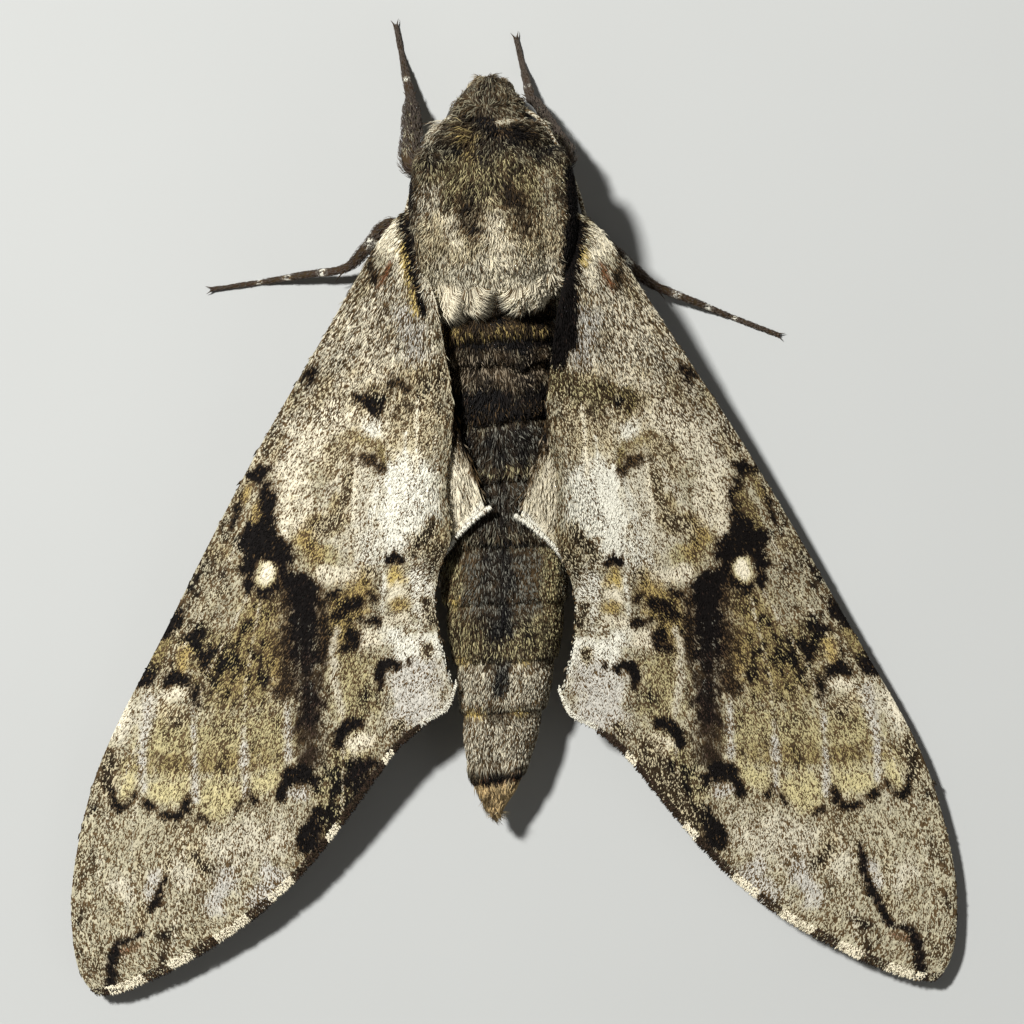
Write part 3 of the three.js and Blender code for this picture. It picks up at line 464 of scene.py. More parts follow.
class MothColours(bpy.types.PropertyGroup):
    white: tone("White", "Scales of the white middle of the forewing", 234, 230, 212)
    ivory: tone("Ivory", "Fringe dashes and pale hair at the wing roots", 240, 230, 202)
    cream: tone("Cream", "Scales of the cream patches", 227, 217, 190)
    pearl: tone("Pearl", "Pale grey-cream scales", 208, 200, 176)
    lilac: tone("Lilac grey", "Scales along the veins", 202, 197, 184)
    stone: tone("Stone", "Ground scales of the forewing", 186, 178, 150)
    grey: tone("Grey", "Grey scales of the leading edge", 170, 162, 136)
    straw: tone("Straw", "Yellowish scales of the outer field", 181, 170, 126)
    yellow: tone("Yellow", "Scales of the yellow band", 200, 188, 140)
    gold: tone("Gold", "Yellow flecks", 206, 182, 112)
    ochre: tone("Ochre", "Warm scales of the olive field", 180, 158, 100)
    olive: tone("Olive", "Scales of the olive field", 158, 143, 96)
    sand: tone("Sand", "Warm grey scales of the wing base", 200, 187, 152)
    moss: tone("Moss", "Grey-olive hair of the head", 138, 131, 108)
    slate: tone("Slate", "Grey hair over the dark abdomen", 122, 120, 108)
    rust: tone("Rust", "Reddish-brown scales", 132, 84, 52)
    brown: tone("Brown", "Pale scales left in a dark mark", 92, 72, 46)
    umber: tone("Umber", "Pale scales left in a purplish mark", 64, 48, 38)
    tawny: tone("Tawny", "Hair of the tail tuft", 200, 174, 126)
    underside: tone("Underside", "Scales of every underside", 146, 132, 110)
    speck: tone("Dark flecks", "Dark scales scattered over a pale field", 95, 76, 50)
    dark: tone("Dark scales", "Black-brown scales and hair", 13, 9, 7)


def number(name, words, default, low, high):
    """A size, a power or a strength, with its limits."""
    return FloatProperty(name=name, description=words, default=default, min=low, max=high)


class MothCoat(bpy.types.PropertyGroup):
    wing_scales: IntProperty(
        name="Wing scales", description="Tufts of scales on each half of a forewing",
        default=20200, min=1000, max=32000)
    scale_length: number("Scale length", "Length of a wing scale tuft in millimetres", 0.30, 0.2, 1)
    scale_width: number("Scale width", "Width of a wing scale tuft in millimetres", 0.10, 0.05, 0.4)
    hair_width: number("Hair width", "Width of a hair tuft on the body in millimetres", 0.075, 0.04, 0.3)
    fringe_length: number("Fringe length", "Length of the fringe scales in millimetres", 0.44, 0.3, 1.5)
    sheet_thickness: number("Wing thickness", "Thickness of a wing's skin in millimetres", 0.34, 0.1, 0.6)
    body_depth: number("Coat depth", "How far the skin lies inside the coat in millimetres", 0.32, 0.1, 0.8)


class MothStage(bpy.types.PropertyGroup):
    floor: tone("Floor", "Colour of the floor", 182, 183, 180)
    key_power: number("Key light", "Power of the main light in watts", 6.1, 0, 50)
    fill_strength: number("Fill light", "Strength of the light from all round", 0.10, 0, 5)


def settings(name):
    return getattr(bpy.context.scene, f"hawk_moth_{name}")


# ---- Colour and number helpers ----

ROUTE_PLACES = 600
LATTICE = 61  # random values along each side of a ripple's grid, which then repeats


def linear(screen_colour):
    """Scene-linear colour of one given as it looks on a screen."""
    screen = np.array(screen_colour, float)[:3]
    return np.where(screen <= 0.04045, screen / 12.92, ((screen + 0.055) / 1.055) ** 2.4)


def colour(name):
    return linear(getattr(settings("colours"), name))


def smooth_step(low, high, value):
    share = np.clip((value - low) / (high - low), 0, 1)
    return share * share * (3 - 2 * share)


def value_at(rows, place):
    """Height of the smooth curve through (place, height) rows, flat-ended and without overshoot."""
    keys, values = np.array(rows, float).T
    last = len(keys) - 1
    before = np.maximum(np.arange(len(keys)) - 1, 0)
    after = np.minimum(np.arange(len(keys)) + 1, last)
    slopes = (values[after] - values[before]) / (keys[after] - keys[before])
    inside = np.clip(place, keys[0], keys[-1])
    row = np.clip(np.searchsorted(keys, inside) - 1, 0, last - 1)
    span = keys[row + 1] - keys[row]
    share = (inside - keys[row]) / span
    end_share = share * share * (3 - 2 * share)
    return (
        values[row] * (1 - end_share) + values[row + 1] * end_share
        + slopes[row] * span * share * (1 - share) ** 2
        - slopes[row + 1] * span * share * share * (1 - share)
    )


def spline(points, shares):
    """Places on the smooth curve through the points, at shares of its count of spans."""
    knots = np.array(points, float)
    spans = len(knots) - 1
    knots = np.vstack([knots[:1], knots, knots[-1:]])
    place = np.clip(shares, 0, 1) * spans
    first = np.minimum(place.astype(int), spans - 1)
    t = (place - first)[:, None]
    a, b, c, d = (knots[first + step] for step in range(4))
    return 0.5 * (
        2 * b + (c - a) * t + (2 * a - 5 * b + 4 * c - d) * t ** 2 + (3 * b - a - 3 * c + d) * t ** 3)


class Route:
    """A smooth curve that can be asked for places by share of its length."""

    def __init__(self, points):
        self.places = spline(points, np.linspace(0, 1, ROUTE_PLACES))
        steps = np.linalg.norm(np.diff(self.places, axis=0), axis=1)
        self.lengths = np.concatenate([[0], np.cumsum(steps)])
        self.length = self.lengths[-1]

    def at(self, shares):
        wanted = np.asarray(shares) * self.length
        return np.stack([np.interp(wanted, self.lengths, axis) for axis in self.places.T], axis=-1)


def ripple(x, y, size, seed):
    """Smooth random values from -1 to 1 that change over the given size."""
    lattice = np.random.default_rng(seed).uniform(-1, 1, (LATTICE, LATTICE))
    column, row = np.floor(x / size).astype(int), np.floor(y / size).astype(int)
    across = smooth_step(0, 1, x / size - column)
    along = smooth_step(0, 1, y / size - row)

    def knots(row_now):
        here, there = (lattice[(column + step) % LATTICE, row_now % LATTICE] for step in (0, 1))
        return here * (1 - across) + there * across

    near, far = knots(row), knots(row + 1)
    return near * (1 - along) + far * along


def columns(*parts):
    """One row for each place, from its parts, each an array or a number that holds for all."""
    return np.stack(np.broadcast_arrays(*parts), axis=-1).astype(float)


def unit(vectors):
    return vectors / np.maximum(np.linalg.norm(vectors, axis=-1, keepdims=True), 1e-12)


# ---- Painting the pattern ----

# shares of dark scales between which those turn from brown to black-brown
CROWD_FROM = 0.42
CROWD_FULL = 0.90


def brush_depth(x, y, stroke):
    """How far inside a stroke each place lies, negative outside it."""
    chain = stroke if len(stroke) > 1 else stroke * 2
    depth = np.full(x.shape, -1e3)
    for (ax, ay, a_radius), (bx, by, b_radius) in zip(chain, chain[1:]):
        squared = max((bx - ax) ** 2 + (by - ay) ** 2, 1e-9)
        share = np.clip(((x - ax) * (bx - ax) + (y - ay) * (by - ay)) / squared, 0, 1)
        distance = np.hypot(x - ax - share * (bx - ax), y - ay - share * (by - ay))
        depth = np.maximum(depth, a_radius + share * (b_radius - a_radius) - distance)
    return depth


class Painting:
    """Colour of the pale scales and share of dark ones at a set of places seen from above."""

    def __init__(self, x, y, ground, seed):
        self.x, self.y = x, y
        self.tint = np.tile(colour(ground[0]), (len(x), 1))
        self.share = np.full(len(x), ground[1])
        self.rag = 0.6 * ripple(x, y, 0.4, seed) + 0.4 * ripple(x, y, 1.1, seed + 1)

    def lay(self, cover, name, share):
        self.tint += cover[:, None] * (colour(name) - self.tint)
        self.share += cover * (share - self.share)

    def mark(self, name, share, softness, stroke):
        depth = brush_depth(self.x, self.y, stroke) + softness * self.rag
        self.lay(smooth_step(-softness, 0.5 * softness, depth), name, share)

    def dark(self):
        """Colour of the dark scales: brown where they are few, black-brown where they crowd."""
        crowd = smooth_step(CROWD_FROM, CROWD_FULL, self.share)[:, None]
        return colour("speck") + crowd * (colour("dark") - colour("speck"))

    def marks(self, rows):
        for row in rows:
            self.mark(*row)


def bowed(start, end, bow, radius):
    """A crescent stroke that bows by the given share of its length, thickest in the middle."""
    (ax, ay), (bx, by) = start, end
    stroke = []
    for share in (0, 0.25, 0.5, 0.75, 1):
        swell = 4 * share * (1 - share)
        across, along = -(by - ay) * bow * swell, (bx - ax) * bow * swell
        place = (ax + share * (bx - ax) + across, ay + share * (by - ay) + along)
        stroke.append((*place, radius * (0.6 + 0.5 * swell)))
    return tuple(stroke)


def paint_forewing(x, y, side):
    """The forewing's upper side, for places on the left wing before it is staggered."""
    painting = Painting(x, y, WING_GROUND, SEED)
    painting.marks(WING_FIELDS)
    for ends in YELLOW_CELLS:
        painting.mark("yellow", 0.24, 1.0, ends)
    clouds = ripple(x, y, 1.9, SEED + 5) + ripple(x, y, 0.8, SEED + 6)
    clouds += ripple(x * 1.7, y * 0.7, 0.4, SEED + 7)
    painting.share = np.clip(painting.share * (1 + 0.27 * clouds), 0, 1)
    tan = np.clip(ripple(x, y, 1.4, SEED + 3) + 0.6 * ripple(x, y, 0.6, SEED + 4), 0, 1)
    tan *= (1 - 0.7 * smooth_step(3, 10, y)) * smooth_step(0.16, 0.42, painting.share)
    painting.lay(0.45 * tan, "ochre", 0.56)
    bearing = (x - 3) / (y + 34)
    streaks = ripple(bearing * 60, y * 0.3, 0.5, SEED + 8)
    painting.share = np.clip(painting.share * (1 + 0.26 * streaks), 0, 1)
    painting.tint *= 1 - 0.06 * streaks[:, None]
    for vein in FOREWING_VEINS:
        painting.mark("pearl", 0.34, 0.14, tuple((vx, vy, 0.02) for vx, vy in vein))
    for vein_x, start_y, end_y in PALE_VEINS:
        painting.mark("lilac", 0.34, 0.35, ((vein_x, start_y, 0.12), (vein_x, end_y, 0.14)))
    painting.marks(WING_DARKS)
    if side < 0:
        painting.marks(RIGHT_WING_DARKS)
    painting.marks(PALE_STREAKS)
    for horns in SCALLOPS:
        painting.mark("brown", 0.90, 0.40, bowed(*horns))
    painting.marks(CELL_SPOT)
    painting.marks(WING_ROOT_HAIR)
    # the black strokes at the wing's root are dark hair and painted shadow
    painting.marks(LEFT_ROOT_HAIR_AND_SHADOW if side > 0 else RIGHT_ROOT_HAIR_AND_SHADOW)
    return painting


def paint_hindwing(x, y, side):
    """The hindwing's upper side: dark hair, and a cream end beside the abdomen."""
    painting = Painting(x, y, ("sand", 0.5), SEED + 10)
    painting.marks(HINDWING_MARKS)
    strands = ripple(2.4 * x + 1.2 * y, 0.25 * y, 0.35, SEED + 12)
    painting.share = np.clip(painting.share + 0.22 * strands, 0, 1)
    return painting


def body_middle(y):
    """The body's middle line at a place along it, as x and z."""
    rows = np.array(BODY_MIDDLE)
    return np.interp(y, rows[:, 0], rows[:, 1]), np.interp(y, rows[:, 0], rows[:, 2])


def ring_sway(x, y):
    """How far the abdomen's rings wander forward and back, most at the thorax."""
    reach = smooth_step(-14, -12.5, y) * (1 - smooth_step(-5, 4, y))
    return 0.5 * ripple(x, y * 0.3, 1.7, SEED + 23) * reach


def paint_body(places):
    """The body's coat: marks seen from above, greyer flanks and a paler belly."""
    x, y, z = places.T
    painting = Painting(x, y + ring_sway(x, y), BODY_GROUND, SEED + 20)
    painting.marks(BODY_MARKS)
    for middle, _ in REAR_LOCKS:
        painting.mark("cream", 0.20, 0.2, ((*middle, LOCK_REACH + 0.1),))
    middle_x, middle_z = body_middle(y)
    slope = np.arctan2(z - middle_z, np.abs(x - middle_x) + 1e-6)
    flank = 1 - smooth_step(-0.35, 0.35, slope)
    painting.lay(0.8 * flank, "underside", 0.46)
    belly = 1 - smooth_step(-1.2, -0.5, slope)
    painting.lay(belly, "sand", 0.30)
    painting.share = np.clip(painting.share + 0.10 * ripple(x, y * 0.6 + z, 0.8, SEED + 21), 0, 1)
    return painting


# ---- Meshes ----


def set_attribute(mesh, name, values):
    """Keeps a number, a place or a colour for each vertex of a mesh."""
    kind, field = "FLOAT", "value"
    if name in ("Tint", "Dark"):
        kind, field = "FLOAT_COLOR", "color"
        values = np.concatenate([values, np.ones((len(values), 1))], axis=1)
    elif values.ndim == 2:
        kind, field = "FLOAT_VECTOR", "vector"
    layer = mesh.attributes.new(name, kind, "POINT")
    layer.data.foreach_set(field, values.astype(np.float32).ravel())


def keep_painting(mesh, painting):
    """Keeps a painting's two colours and its share of dark scales for the skin's material."""
    set_attribute(mesh, "Tint", painting.tint)
    set_attribute(mesh, "Dark", painting.dark())
    set_attribute(mesh, "Share", painting.share)


def read_vectors(items, field):
    flat = np.empty(len(items) * 3, np.float32)
    items.foreach_get(field, flat)
    return flat.reshape(-1, 3).astype(float)


def vertex_places(mesh):
    """Places of a mesh's vertices in millimetres."""
    return read_vectors(mesh.vertices, "co") / MM


def vertex_normals(mesh):
    return read_vectors(mesh.vertex_normals, "vector")


def add_piece(name, mesh, material, slot, *nodes):
    """Puts a finished mesh in the scene, riding with the moth and standing for the CAD nodes named."""
    mesh.name = name
    mesh.shade_smooth()
    mesh.materials.append(material)
    piece = bpy.data.objects.new(name, mesh)
    bpy.context.collection.objects.link(piece)
    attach(piece, "root")
    if nodes:
        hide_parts(*nodes)


def mesh_of(shape, name):
    """Turns a bmesh, drawn in millimetres, into a mesh in metres."""
    bmesh.ops.scale(shape, vec=(MM, MM, MM), verts=shape.verts)
    bmesh.ops.recalc_face_normals(shape, faces=shape.faces)
    mesh = bpy.data.meshes.new(name)
    shape.to_mesh(mesh)
    shape.free()
    return mesh


def joined_mesh(name, places, triangles):
    """One mesh from arrays of places, in millimetres, and of triangles."""
    mesh = bpy.data.meshes.new(name)
    mesh.vertices.add(len(places))
    mesh.vertices.foreach_set("co", (places * MM).astype(np.float32).ravel())
    mesh.loops.add(triangles.size)
    mesh.loops.foreach_set("vertex_index", triangles.astype(np.int32).ravel())
    mesh.polygons.add(len(triangles))
    mesh.polygons.foreach_set("loop_start", np.arange(0, triangles.size, 3, dtype=np.int32))
    mesh.update(calc_edges=True)
    return mesh


# A hair tuft is a closed three-sided blade: a root ring (left, right, top), a middle ring and a tip. A scale
# is widest at its middle: a root, a ring and a tip. Each vertex has a place in the tuft's square of the bake
# map and a share of the tuft's colour that paints light and shade onto the tuft: painted shade darkens the
# root, and a painted highlight lightens the top of the middle ring and the tip.
BLADE = {
    "triangles": np.array((
        (0, 1, 2), (0, 2, 5), (0, 5, 3), (2, 1, 4), (2, 4, 5),
        (1, 0, 3), (1, 3, 4), (3, 5, 6), (5, 4, 6), (4, 3, 6))),
    "map": np.array(((0, 0), (0, 1), (0.1, 0.5), (0.5, 0.08), (0.5, 0.92), (0.56, 0.5), (1, 0.5))),
    "painted_shade": np.array((0.80, 0.80, 0.88, 0.97, 0.97, 1.03, 1.12)),
}
SCALE = {
    "triangles": np.array(((1, 3, 4), (3, 2, 4), (2, 1, 4), (3, 1, 0), (2, 3, 0), (1, 2, 0))),
    "map": np.array(((0, 0.5), (0.5, 0), (0.5, 1), (0.42, 0.5), (1, 0.5))),
    "painted_shade": np.array((0.88, 0.98, 0.98, 1.0, 1.06)),
}
TUFT_SINK = 0.05  # its root is this far inside the skin
ROOT_WIDTH = 0.55  # share of the full width


class Tufts:
    """Roots for many tufts: where they stand, which way they lie and how long, wide and raised they are."""

    def __init__(self, roots, normals, lies, patches, seed):
        self.roots = roots
        self.normals = unit(normals)
        inward = (lies * self.normals).sum(axis=1, keepdims=True)
        self.lies = unit(lies - self.normals * inward)
        self.patches = patches
        self.rng = np.random.default_rng(seed)
        self.count = len(roots)

    def spread(self, low, high):
        """One random number for each tuft."""
        return self.rng.uniform(low, high, self.count)

    def shape(self, profile, length, width, flatness, lift, curl, fan):
        """Places for each tuft's vertices. Lift and curl are shares of its length, fan is in radians."""
        turn = (fan * self.rng.standard_normal(self.count))[:, None]
        side = np.cross(self.normals, self.lies)
        ahead = self.lies * np.cos(turn) + side * np.sin(turn)
        side = np.cross(self.normals, ahead)
        length, width = length[:, None], width[:, None] / 2
        lift, curl = lift[:, None], curl[:, None]
        root = self.roots - self.normals * TUFT_SINK
        middle = self.roots + ahead * length * 0.5 + self.normals * length * lift * 0.62
        tip = self.roots + ahead * length + self.normals * length * (lift - curl)
        ridge = self.normals * width * 2 * flatness
        ring = [middle + side * width, middle - side * width, middle + ridge]
        if profile is SCALE:
            return np.stack([root, *ring, tip], axis=1)
        foot = [root + ROOT_WIDTH * offset for offset in (side * width, -side * width, ridge)]
        return np.stack([*foot, *ring, tip], axis=1)

    def colours(self, painting, contrast=0.14, blur=0.04):
        """One colour for each tuft: a pale one or, as often as the painting says, a dark one."""
        draw = self.spread(0, 1)
        dark = smooth_step(-blur, blur, painting.share - draw)[:, None]
        pale_level = self.spread(1 - contrast, 1 + contrast)[:, None]
        dark_level = self.spread(0.7, 1.4)[:, None]
        return painting.tint * pale_level * (1 - dark) + painting.dark() * dark_level * dark


def add_tufts(name, slot, profile, tufts, places, colours, material):
    """Joins the tufts into one piece with their colours and the bake map OFBake."""
    firsts = np.arange(tufts.count)[:, None, None] * len(profile["map"])
    triangles = (profile["triangles"][None] + firsts).reshape(-1, 3)
    mesh = joined_mesh(name, places.reshape(-1, 3), triangles)
    # painted shade and highlight: each tuft's colour is darkened at its root and lightened at its tip
    tints = colours[:, None, :] * profile["painted_shade"][None, :, None]
    set_attribute(mesh, "Tint", np.clip(tints, 0, 1).reshape(-1, 3))
    corners = tufts.patches[:, None, None, :] + PATCH * profile["map"][profile["triangles"]][None]
    bake_map = mesh.uv_layers.new(name="OFBake")
    bake_map.data.foreach_set("uv", corners.astype(np.float32).ravel())
    add_piece(name, mesh, material, slot)


def sweep(shape, places, radii, sides):
    """Draws a closed limb by extruding a ring from place to place."""
    frames = []
    for place, ahead, side, up, radius in zip(places, *limb_frames(places), radii):
        axes = Matrix((side, up, ahead)).transposed().to_4x4()
        frames.append(Matrix.Translation(place) @ axes @ Matrix.Diagonal((radius, radius, 1, 1)))
    made = bmesh.ops.create_circle(shape, cap_ends=True, segments=sides, radius=1, matrix=frames[0])
    ring = set(made["verts"])
    edges = [edge for edge in shape.edges if set(edge.verts) <= ring]
    for frame_before, frame_now in zip(frames, frames[1:]):
        made = bmesh.ops.extrude_edge_only(shape, edges=edges)["geom"]
        ring = {item for item in made if isinstance(item, bmesh.types.BMVert)}
        edges = [item for item in made if isinstance(item, bmesh.types.BMEdge) and set(item.verts) <= ring]
        bmesh.ops.transform(shape, matrix=frame_now @ frame_before.inverted(), verts=list(ring))
    bmesh.ops.contextual_create(shape, geom=edges)


# ---- Materials ----


def link(tree, start, end):
    tree.links.new(start, end)


def add_node(tree, kind, inputs, **options):
    """Adds a shader node with its options set and each input given a value or joined to another's output."""
    node = tree.nodes.new(f"ShaderNode{kind}")
    for option, value in options.items():
        setattr(node, option, value)
    for key, value in inputs.items():
        if isinstance(value, bpy.types.NodeSocket):
            link(tree, value, node.inputs[key])
        else:
            node.inputs[key].default_value = value
    return node.outputs


def mixed(tree, factor, first, second):
    """A colour between two others."""
    return add_node(tree, "Mix", {"Factor": factor, "A": first, "B": second}, data_type="RGBA")["Result"]


def scale_rows_group():
    """Rows of overlapping scales, each drawn pale or dark: a colour and a height."""
    name = "Scale rows"
    if name in bpy.data.node_groups:
        return bpy.data.node_groups[name]
    group = bpy.data.node_groups.new(name, "ShaderNodeTree")
    for direction, socket, kind in (
            ("INPUT", "Lie", "Vector"), ("INPUT", "Scales per mm", "Vector"), ("INPUT", "Pale", "Color"),
            ("INPUT", "Dark", "Color"), ("INPUT", "Dark share", "Float"),
            ("OUTPUT", "Color", "Color"), ("OUTPUT", "Height", "Float")):
        group.interface.new_socket(socket, in_out=direction, socket_type=f"NodeSocket{kind}")
    enter = group.nodes.new("NodeGroupInput").outputs
    leave = group.nodes.new("NodeGroupOutput").inputs
    count = add_node(group, "VectorMath", {0: enter["Lie"], 1: enter["Scales per mm"]}, operation="MULTIPLY")
    cells = add_node(group, "TexVoronoi", {"Scale": 1, "Vector": count[0]}, voronoi_dimensions="2D")
    draws = add_node(group, "SeparateColor", {"Color": cells["Color"]})
    chosen = add_node(group, "Math", {0: enter["Dark share"], 1: draws["Red"]}, operation="SUBTRACT")
    crisp = add_node(group, "MapRange", {"From Min": -0.05, "From Max": 0.05, "Value": chosen[0]})
    level = add_node(group, "MapRange", {"To Min": 0.80, "To Max": 1.12, "Value": draws["Green"]})
    lit = add_node(group, "VectorMath", {0: enter["Pale"], "Scale": level["Result"]}, operation="SCALE")
    link(group, mixed(group, crisp["Result"], lit[0], enter["Dark"]), leave["Color"])
    shingle = add_node(group, "Math", {0: draws["Blue"], 1: cells["Distance"]}, operation="SUBTRACT")
    link(group, shingle[0], leave["Height"])
    return group


def new_material(name, roughness, sheen=0.0):
    """A material with low gloss, its tree and the inputs of its shader."""
    material = bpy.data.materials.new(name)
    material.use_nodes = True
    shader = material.node_tree.nodes["Principled BSDF"].inputs
    shader["Roughness"].default_value = roughness
    shader["Specular IOR Level"].default_value = 0.12
    shader["Sheen Weight"].default_value = sheen
    return material, material.node_tree, shader


def attribute(tree, name, output):
    return add_node(tree, "Attribute", {}, attribute_name=name)[output]


def object_places(tree):
    return add_node(tree, "TexCoord", {})["Object"]


def add_bump(tree, shader, height, strength, distance):
    bump = add_node(tree, "Bump", {"Strength": strength, "Distance": distance, "Height": height})
    link(tree, bump["Normal"], shader["Normal"])


def skin_material(name, per_mm):
    """Skin or membrane covered with close scales, from the attributes Tint, Dark, Share and Lie."""
    if name in bpy.data.materials:
        return bpy.data.materials[name]
    material, tree, shader = new_material(name, 0.72)
    rows = tree.nodes.new("ShaderNodeGroup")
    rows.node_tree = scale_rows_group()
    rows.inputs["Scales per mm"].default_value = (*per_mm, 0)
    for field, output, key in (
            ("Lie", "Vector", "Lie"), ("Tint", "Color", "Pale"), ("Dark", "Color", "Dark"),
            ("Share", "Fac", "Dark share")):
        link(tree, attribute(tree, field, output), rows.inputs[key])
    link(tree, rows.outputs["Color"], shader["Base Color"])
    add_bump(tree, shader, rows.outputs["Height"], 0.6, 0.00004)
    return material


def tuft_material(name, roughness, sheen=0.0):
    """Hair and scales whose colour is kept in the attribute Tint, with fine streaks in their gloss."""
    if name in bpy.data.materials:
        return bpy.data.materials[name]
    material, tree, shader = new_material(name, roughness, sheen)
    link(tree, attribute(tree, "Tint", "Color"), shader["Base Color"])
    grain = add_node(tree, "TexNoise", {"Scale": 9000, "Vector": object_places(tree)})
    gloss = add_node(tree, "MapRange", {
        "To Min": roughness - 0.15, "To Max": min(roughness + 0.2, 1), "Value": grain["Fac"]})
    link(tree, gloss["Result"], shader["Roughness"])
    return material


def wing_scale_material():
    return tuft_material("wing_scales", 0.62)


# ---- Wings ----


SCALE_DEPTH = 0.12  # the membrane's upper face lies this far inside the solid wing's
SOLID_HALF_WING = 0.3
FOREWING_SEGMENTS = (270, 90)
HINDWING_SEGMENTS = (110, 60)
VEIN_RISE = 0.13
VEIN_HALF_WIDTH = 0.32
FRINGE_ROOM_TIP = 0.012  # share of the wing's length left for the fringe at the tip
FRINGE_ROOM_INNER = 0.024  # and at the inner corner
FRINGE_SCALE_WIDTH = 0.12
EDGE_ROOM = 0.02  # share of the wing's width left for scales at its inner edge
FRINGE_DARK_SHARES = {"umber": 0.78, "ivory": 0.12, "white": 0.12, "underside": 0.12}
HINDWING_SCALES = 4000
UNDER_SCALES = {"forewing": 3000, "hindwing": 1500}
FRINGES = {"forewing": (FRINGE_STRETCHES, 4200), "hindwing": (HINDWING_FRINGE, 1600)}
SIDES = {"left": 1, "right": -1}


def roof_height(x, y):
    """Height of the wings' middle surface at a place in plan."""
    ridge = value_at(RIDGE_HEIGHTS, y)
    edge = value_at(COSTA_HEIGHTS, y)
    share = (x - RIDGE_X) / (value_at(COSTA_REACH, y) - RIDGE_X)
    return ridge + share * (edge - ridge) + WING_CAMBER * np.sin(math.pi * np.clip(share, 0, 1))


class Wing:
    """A left wing before it is staggered: s runs from its root to its margin, t from front to inner edge."""

    def __init__(self, kind, outline, drop, veins, paint, segments):
        self.kind = kind
        self.slot = f"{kind}_scales"
        self.edges = {name: Route(points) for name, points in outline.items()}
        self.ends = {name: np.array((points[0], points[-1]), float) for name, points in outline.items()}
        self.drop = drop
        self.veins = veins
        self.paint = paint
        self.segments = segments

    def plan(self, s, t):
        """Places in plan, stretched between the four edge curves."""
        costa, inner = self.edges["costa"].at(s), self.edges["inner"].at(s)
        root, margin = self.edges["root"].at(t), self.edges["margin"].at(t)
        s, t = s[:, None], t[:, None]
        corners = (
            self.ends["costa"][0] * (1 - s) * (1 - t) + self.ends["costa"][1] * s * (1 - t)
            + self.ends["inner"][0] * (1 - s) * t + self.ends["inner"][1] * s * t)
        return costa * (1 - t) + inner * t + root * (1 - s) + margin * s - corners

    def relief(self, x, y):
        """Low ridges over the veins and a slight unevenness."""
        rise = 0.05 * ripple(x, y, 4.0, SEED + 2)
        for vein in self.veins:
            gap = -brush_depth(x, y, tuple((vx, vy, 0) for vx, vy in vein))
            rise += VEIN_RISE * np.exp(-((gap / VEIN_HALF_WIDTH) ** 2)) * smooth_step(-0.2, 1.5, gap + 1)
        return rise

    def top(self, s, t):
        """Places on the membrane's upper face."""
        x, y = self.plan(s, t).T
        z = roof_height(x, y) - self.drop + SOLID_HALF_WING - SCALE_DEPTH
        return columns(x, y, z + 0.6 * (self.relief(x, y) - VEIN_RISE))

    def hairy(self, s, t):
        """How far its scales are drawn out into hair: a forewing's at its root and inner edge, a
        hindwing's all over, more towards its inner edge, but not at its margin."""
        if self.drop:
            return (1 + smooth_step(0.5, 0.8, t)) * (1 - smooth_step(0.86, 0.94, s))
        inner = 0.7 * smooth_step(0.78, 0.95, t) * (1 - smooth_step(0.5, 0.66, s))
        return np.maximum(1 - smooth_step(0.06, 0.34, s), inner)

    def slopes(self, s, t):
        """Short steps over its upper face, along s and across t."""
        step = 0.004
        along = self.top(np.minimum(s + step, 1), t) - self.top(np.maximum(s - step, 0), t)
        across = self.top(s, np.minimum(t + step, 1)) - self.top(s, np.maximum(t - step, 0))
        return along, across

    def scatter(self, count, rng):
        """Random places on the wing, evenly spread over its area, in order from root to margin."""
        kept_s, kept_t = np.empty(0), np.empty(0)
        while len(kept_s) < count:
            s, t = rng.uniform(0, 1, 3 * count), rng.uniform(0, 1 - EDGE_ROOM / 2, 3 * count)
            s *= margin_share(t)
            along, across = self.slopes(s, t)
            area = np.abs(along[:, 0] * across[:, 1] - along[:, 1] * across[:, 0])
            keep = rng.uniform(0, area.max(), len(s)) < area
            kept_s, kept_t = np.append(kept_s, s[keep]), np.append(kept_t, t[keep])
        order = np.argsort(kept_s[:count])
        return kept_s[:count][order], kept_t[:count][order]


def margin_share(t):
    """The share of the wing's length where the membrane ends and the fringe begins."""
    return 1 - FRINGE_ROOM_TIP - (FRINGE_ROOM_INNER - FRINGE_ROOM_TIP) * t


def on_side(places, side):
    """Moves left-wing places or mirrors them to the right wing, with the stagger between the two."""
    moved = places.copy()
    moved[:, 1] -= WING_STAGGER * side
    moved[:, 0] *= side
    return moved


def turned(directions, side):
    """Directions on the left wing, mirrored for the right one."""
    mirrored = directions.copy()
    mirrored[:, 0] *= side
    return mirrored


def wing_lie(wing, s, t):
    """Where a place is along and across its wing, in millimetres."""
    length = wing.edges["costa"].length
    width = np.linalg.norm(wing.ends["margin"][1] - wing.ends["margin"][0])
    return columns(s * length, t * width * (0.35 + 0.65 * s), 0)


